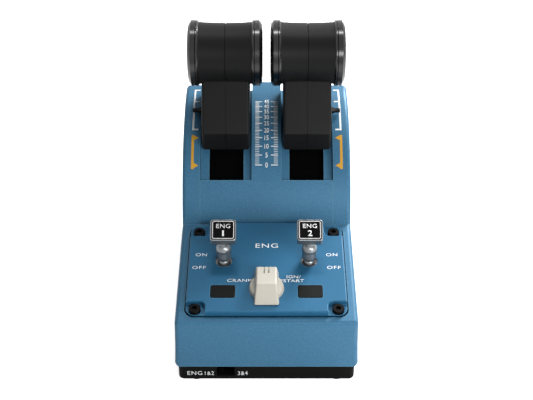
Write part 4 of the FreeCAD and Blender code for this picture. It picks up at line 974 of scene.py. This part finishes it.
@dataclass
class ControlPanel(SubAssembly):
    """Sloping panel with its buttons, knob, cap screws and legends, and a black strip of painted shade in
    the joint round its plate.
    """

    words: tuple[Legend, ...] = (
        Legend("ENG", 0.2, 41.1, Lettering(4.2, 1.34, 0.0, 1.12)),
        Legend("CRANK", -18.6, 7.4, Lettering(2.8, 1.27, 0.008, 1.08)),
        Legend("IGN/", 19.0, 10.9, Lettering(2.8, 1.24, 0.008, 1.04)),
        Legend("START", 18.9, 7.2, Lettering(2.8, 1.24, 0.008, 1.04)),
    )
    switch_words: tuple[Legend, ...] = (
        Legend("ON", 46.5, 32.1, Lettering(2.9, 1.24, 0.0, 1.15)),
        Legend("OFF", 47.5, 19.7, Lettering(2.9, 1.24, 0.0, 1.15)),
    )
    dash_x: float = 10.5
    dash_along: float = 7.9
    dash: tuple[float, float] = (1.5, 0.6)
    plate: tuple[float, float] = (110.6, 85.75)
    plate_middle: float = 22.07        # ahead of the selector's axis
    joint: float = 1.0                 # width of the joint round the plate
    joint_corner: float = 7.0
    joint_top: float = 5.15            # top of the painted gap shade, below the plate's top
    joint_depth: float = 1.8

    def finishes(self) -> dict[str, str]:
        """The panel and its controls."""
        # the toggles' collars take dark steel instead of bright chrome, as painted shade of the hole round
        # each stem
        return {"control_plate": "panel_paint", "plate_screws": "screw_black",
                "left_push_button": "button_black", "right_push_button": "button_black",
                "selector_knob": "ivory_plastic", "toggle_bodies": "dark_steel",
                "selector_switch": "grey_plastic", "button_switches": "black_plastic",
                "switch_board": "circuit_board"}

    def build(self) -> None:
        """Print the words in white and lay a black strip of painted shade in the joint round the plate."""
        deck = Deck()
        plate = Print("panel_legends")
        for word in self.words:
            self._set(plate, deck, word, 1)
        for word in self.switch_words:
            for side in Side:
                self._set(plate, deck, word, side.value)
        for side in Side:
            plate.bar(deck.seat(side.value * self.dash_x, self.dash_along), *self.dash)
        plate.finish("casing", self.shop.materials["white_ink"])
        # a black strip down in the joint round the plate: painted shade of the gap
        gap_shade = Print("plate_gasket")
        size = [length + 2 * self.joint for length in self.plate]
        seat = deck.seat(0.0, self.plate_middle).moved(out=-self.joint_top)
        gap_shade.outline(seat, *size, self.joint_corner, self.joint, self.joint_depth)
        gap_shade.finish("casing", self.shop.materials["cavity_black"])

    def _set(self, plate: Print, deck: Deck, word: Legend, side: int) -> None:
        """Set one word on one side of the panel.

        Args:
            plate: The piece that takes it.
            deck: The panel's surface.
            word: The word.
            side: -1 to mirror its place to the left.
        """
        plate.letters(word.text, deck.seat(side * word.x, word.along), word.lettering)


@dataclass
class EngineToggle(SubAssembly):
    """Engine toggle with the black legend face over the recess of its cap."""

    side: Side = Side.LEFT
    slope: float = 9.5                 # deck's slope
    tilt: float = 14.0                 # stem from the deck's normal, towards ON
    cap_tilt: float = 34.5             # cap from the stem
    cap_distance: float = 24.9         # hinge to the middle of the cap
    floor: float = 3.1                 # recess floor above the cap's middle
    face: tuple[float, float] = (16.4, 14.7)
    thick: float = 0.45                # recess depth and a little more
    corner: float = 1.3
    margin: float = 0.65               # from the face's edge to the white outline
    line: float = 0.42
    word: Lettering = Lettering(3.2, 1.1, 0.004, 1.08)
    word_up: float = 3.0
    digit: Lettering = Lettering(4.4, 1.1, 0.012)
    digit_up: float = -2.5
    stroke: float = 0.27               # width of the digit 1 as a share of its height

    def finishes(self) -> dict[str, str]:
        """The toggle's one node."""
        return {self.side.word + "_engine_toggle": "satin_metal"}

    def seat(self) -> Seat:
        """Find the middle of the recess floor.

        Returns:
            A seat there, which faces out of the cap.
        """
        pivot = joint_point(self.side.word + "_toggle_hinge")
        lean = math.radians(self.slope - self.tilt)
        stem = Matrix.Rotation(lean, 3, "X") @ UPRIGHT
        turn = Matrix.Rotation(lean + math.radians(self.cap_tilt), 3, "X")
        up, out = turn @ Vector((0.0, 1.0, 0.0)), turn @ UPRIGHT
        return Seat(pivot + stem * self.cap_distance + out * self.floor, ACROSS, up)

    def build(self) -> None:
        """Lay the black tile, its white outline and its words."""
        body = self.side.word + "_toggle"
        seat = self.seat()
        tile = Print(self.side.word + "_toggle_face")
        tile.tile(seat, *self.face, self.corner, self.thick)
        tile.finish(body, self.shop.materials["legend_black"])
        words = Print(self.side.word + "_toggle_legend")
        top = seat.moved(out=self.thick)
        size = [length - 2 * self.margin for length in self.face]
        words.outline(top, *size, self.corner, self.line)
        words.letters("ENG", top.moved(up=self.word_up), self.word)
        digit = top.moved(up=self.digit_up)
        if self.side is Side.LEFT:
            words.bar(digit, self.digit.height * self.stroke, self.digit.height)
        else:
            words.letters("2", digit, self.digit)
        words.finish(body, self.shop.materials["legend_white"])


@dataclass
class ThrustLever(SubAssembly):
    """One thrust lever with its barrel, rings, buttons and the parts under the arch."""

    side: Side = Side.LEFT

    def finishes(self) -> dict[str, str]:
        """The lever's nodes."""
        # the dust shutter and lever arm, deep in the slot, take the near-black of painted shade
        looks = {"handle_outer": "handle_black", "handle_inner": "handle_black",
                 "reverse_trigger": "handle_black", "outer_ring": "gloss_black",
                 "inner_ring": "gloss_black", "disconnect_button": "red_plastic",
                 "dust_shutter": "cavity_black", "lever_arm": "cavity_black",
                 "detent_sector": "steel", "sensor_magnet": "steel"}
        return {f"{self.side.word}_{node}": finish for node, finish in looks.items()}


@dataclass
class RearSockets(SubAssembly):
    """Sockets in the rear cover with their contacts."""

    jack_x: float = 7.0
    jack_z: float = 58.4
    mouth_height: float = 6.7
    back_wall: float = 2.0
    wires: int = 6
    pitch: float = 1.02
    wire: tuple[float, float] = (0.45, 0.22)
    wire_top: float = 0.4              # wire under the mouth's roof
    knee_in: float = 3.2               # wire's bend inside the open end
    tip_out: float = 3.0               # wire's tip from the back wall
    tip_drop: float = 2.6              # and under the roof
    usb_z: float = 72.4
    pad: tuple[float, float] = (0.3, 2.4)
    pad_pitch: float = 0.5
    pads: int = 12
    pad_in: float = 3.4                # pads inside the mouth
    tongue_half: float = 0.35          # half the thickness of the tongue under the pads

    def finishes(self) -> dict[str, str]:
        """The sockets and the board behind them."""
        return {"jack_sockets": "black_plastic", "usb_socket": "steel", "port_board": "circuit_board"}

    def build(self) -> None:
        """Make the contact wires of both jacks and the pads of the inlet."""
        low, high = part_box("jack_sockets")
        back, front = low.y / MM + self.back_wall, high.y / MM
        wires = Print("jack_contacts")
        for side in Side:
            for count in range(self.wires):
                x = side.value * self.jack_x + (count - (self.wires - 1) / 2) * self.pitch
                self._wire(wires, x, back, front)
        wires.finish("casing", self.shop.materials["contact_gold"])
        pads = Print("usb_contacts")
        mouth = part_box("usb_socket")[1].y / MM
        for face in (-1, 1):
            up = Vector((0.0, face, 0.0))
            for count in range(self.pads):
                x = (count - (self.pads - 1) / 2) * self.pad_pitch
                origin = Vector((x, mouth - self.pad_in, self.usb_z + face * self.tongue_half))
                pads.bar(Seat(origin, ACROSS, up), *self.pad)
        pads.finish("casing", self.shop.materials["contact_gold"])

    def _wire(self, plate: Print, x: float, back: float, front: float) -> None:
        """Bend one contact wire: along under the mouth's roof and back down from the knee.

        Args:
            plate: The piece that takes it.
            x: The wire's place across.
            back: The mouth's back wall.
            front: The mouth's open end.
        """
        roof = self.jack_z + self.mouth_height / 2
        width, thick = self.wire
        root = Vector((x, back, roof - self.wire_top))
        knee = Vector((x, front - self.knee_in, roof - self.wire_top))
        tip = Vector((x, back + self.tip_out, roof - self.tip_drop))
        for start, end in ((knee, tip), (root, knee)):
            run = end - start
            plate.bar(Seat((start + end) / 2, ACROSS, run.normalized()), width, run.length, thick)


@dataclass
class InnerWorks(SubAssembly):
    """Brackets, axle, detents, friction parts and boards under the covers."""

    def finishes(self) -> dict[str, str]:
        """The works' nodes."""
        return {"left_bracket": "grey_plastic", "center_bracket": "grey_plastic",
                "right_bracket": "grey_plastic", "axle_spacers": "grey_plastic",
                "detent_arms": "grey_plastic", "lever_axle": "steel", "axle_clips": "steel",
                "detent_rollers": "steel", "friction_shoes": "rubber", "main_board": "circuit_board",
                "sensor_boards": "circuit_board"}


# ---------------------------------------------------------------- stage
@dataclass(frozen=True)
class Lamp:
    """One soft rectangular lamp, with its size in metres and its power in watts."""

    name: str
    place: tuple[float, float, float]
    size: tuple[float, float]
    power: float


@dataclass
class Studio:
    """Camera, floor, world and soft lamps, in metres, degrees and watts."""

    camera_place: tuple[float, float, float] = (0.0, -0.6419, 0.5213)
    camera_pitch: float = 34.0
    lens: float = 70.92                # focal length in millimetres
    clip: tuple[float, float] = (0.01, 50.0)
    floor_half: float = 3.0
    target: tuple[float, float, float] = (0.0, 0.0, 0.09)
    lamps: tuple[Lamp, ...] = (
        Lamp("key", (0.50, 0.75, 0.72), (0.4, 0.4), 20.0),
        Lamp("overhead", (0.03, 0.25, 1.15), (0.35, 0.12), 3.0),
        Lamp("shoulder", (0.20, -0.66, 0.50), (0.3, 0.18), 2.1),
        Lamp("right", (0.42, -0.45, 0.26), (0.25, 0.25), 1.7),
    )
    ambient: float = 0.09
    floor_color: float = 0.86
    floor_glow: float = 0.84           # added where the floor is seen, so that it shows white

    def build(self) -> None:
        """Set up the whole stage."""
        scene = bpy.context.scene
        scene.view_settings.view_transform = "Standard"
        self._camera(scene)
        self._world(scene)
        self._floor()
        for lamp in self.lamps:
            self._hang(lamp)

    def _camera(self, scene: bpy.types.Scene) -> None:
        """Place the camera in front of and above the pilot's side.

        Args:
            scene: The scene that looks through it.
        """
        camera = bpy.data.objects.new("camera", bpy.data.cameras.new("camera"))
        camera.data.lens = self.lens
        camera.data.clip_start, camera.data.clip_end = self.clip
        camera.location = self.camera_place
        camera.rotation_euler = (math.radians(90.0 - self.camera_pitch), 0.0, 0.0)
        scene.collection.objects.link(camera)
        scene.camera = camera

    def _hang(self, lamp: Lamp) -> None:
        """Hang one soft lamp that faces the object.

        Args:
            lamp: The lamp's place, size and watts.
        """
        data = bpy.data.lights.new(lamp.name, "AREA")
        data.shape = "RECTANGLE"
        data.size, data.size_y = lamp.size
        data.energy = lamp.power
        light = bpy.data.objects.new(lamp.name, data)
        light.location = lamp.place
        light.rotation_mode = "QUATERNION"
        light.rotation_quaternion = (Vector(self.target) - Vector(lamp.place)).to_track_quat("-Z", "Y")
        bpy.context.scene.collection.objects.link(light)

    def _seen(self, sheet: NodeSheet) -> Socket:
        """A mask that is 1 for camera, glossy and transmission rays.

        Args:
            sheet: The tree that needs the mask.

        Returns:
            The mask's socket.
        """
        path = sheet.add("ShaderNodeLightPath")
        both = sheet.math("MAXIMUM", path.outputs["Is Camera Ray"], path.outputs["Is Glossy Ray"])
        return sheet.math("MAXIMUM", both, path.outputs["Is Transmission Ray"])

    def _world(self, scene: bpy.types.Scene) -> None:
        """A pale world that lights softly and shows white behind the object.

        Args:
            scene: The scene that gets the world.
        """
        world = bpy.data.worlds.new("studio")
        world.use_nodes = True
        scene.world = world
        sheet = NodeSheet(world.node_tree)
        background = world.node_tree.nodes["Background"]
        background.inputs["Color"].default_value = (1.0, 1.0, 1.0, 1.0)
        lift = sheet.math("MULTIPLY", self._seen(sheet), 1.0 - self.ambient)
        sheet.link(sheet.math("ADD", lift, self.ambient), background.inputs["Strength"])

    def _floor(self) -> None:
        """A pale floor that keeps the object's shadow."""
        mesh = bmesh.new()
        bmesh.ops.create_grid(mesh, x_segments=1, y_segments=1, size=self.floor_half)
        data = bpy.data.meshes.new("floor")
        mesh.to_mesh(data)
        mesh.free()
        floor = bpy.data.objects.new("floor", data)
        bpy.context.scene.collection.objects.link(floor)
        material = bpy.data.materials.new("floor_white")
        material.use_nodes = True
        tree = material.node_tree
        sheet = NodeSheet(tree)
        tree.nodes.remove(tree.nodes["Principled BSDF"])
        diffuse = sheet.add("ShaderNodeBsdfDiffuse")
        pale = (self.floor_color,) * 3
        diffuse.inputs["Color"].default_value = (*pale, 1.0)
        glow = sheet.add("ShaderNodeEmission")
        sheet.link(sheet.math("MULTIPLY", self._seen(sheet), self.floor_glow), glow.inputs["Strength"])
        total = sheet.add("ShaderNodeAddShader")
        sheet.link(diffuse.outputs[0], total.inputs[0])
        sheet.link(glow.outputs[0], total.inputs[1])
        sheet.link(total.outputs[0], tree.nodes["Material Output"].inputs["Surface"])
        data.materials.append(material)


def main() -> None:
    """Dress the quadrant, build its marks and fittings and set up the stage."""
    logging.basicConfig(level=logging.INFO, format="%(name)s: %(message)s")
    shop = PaintShop()
    parts: list[SubAssembly] = [PaintedCasing(shop), BaseTray(shop), ControlPanel(shop)]
    parts += [EngineToggle(shop, side) for side in Side]
    parts += [ThrustLever(shop, side) for side in Side]
    parts += [RearSockets(shop), InnerWorks(shop)]
    for part in parts:
        part.dress()
        part.build()
        log.info("%s: %d nodes dressed", type(part).__name__, len(part.finishes()))
    shop.check()
    Studio().build()


if __name__ == "__main__":
    main()
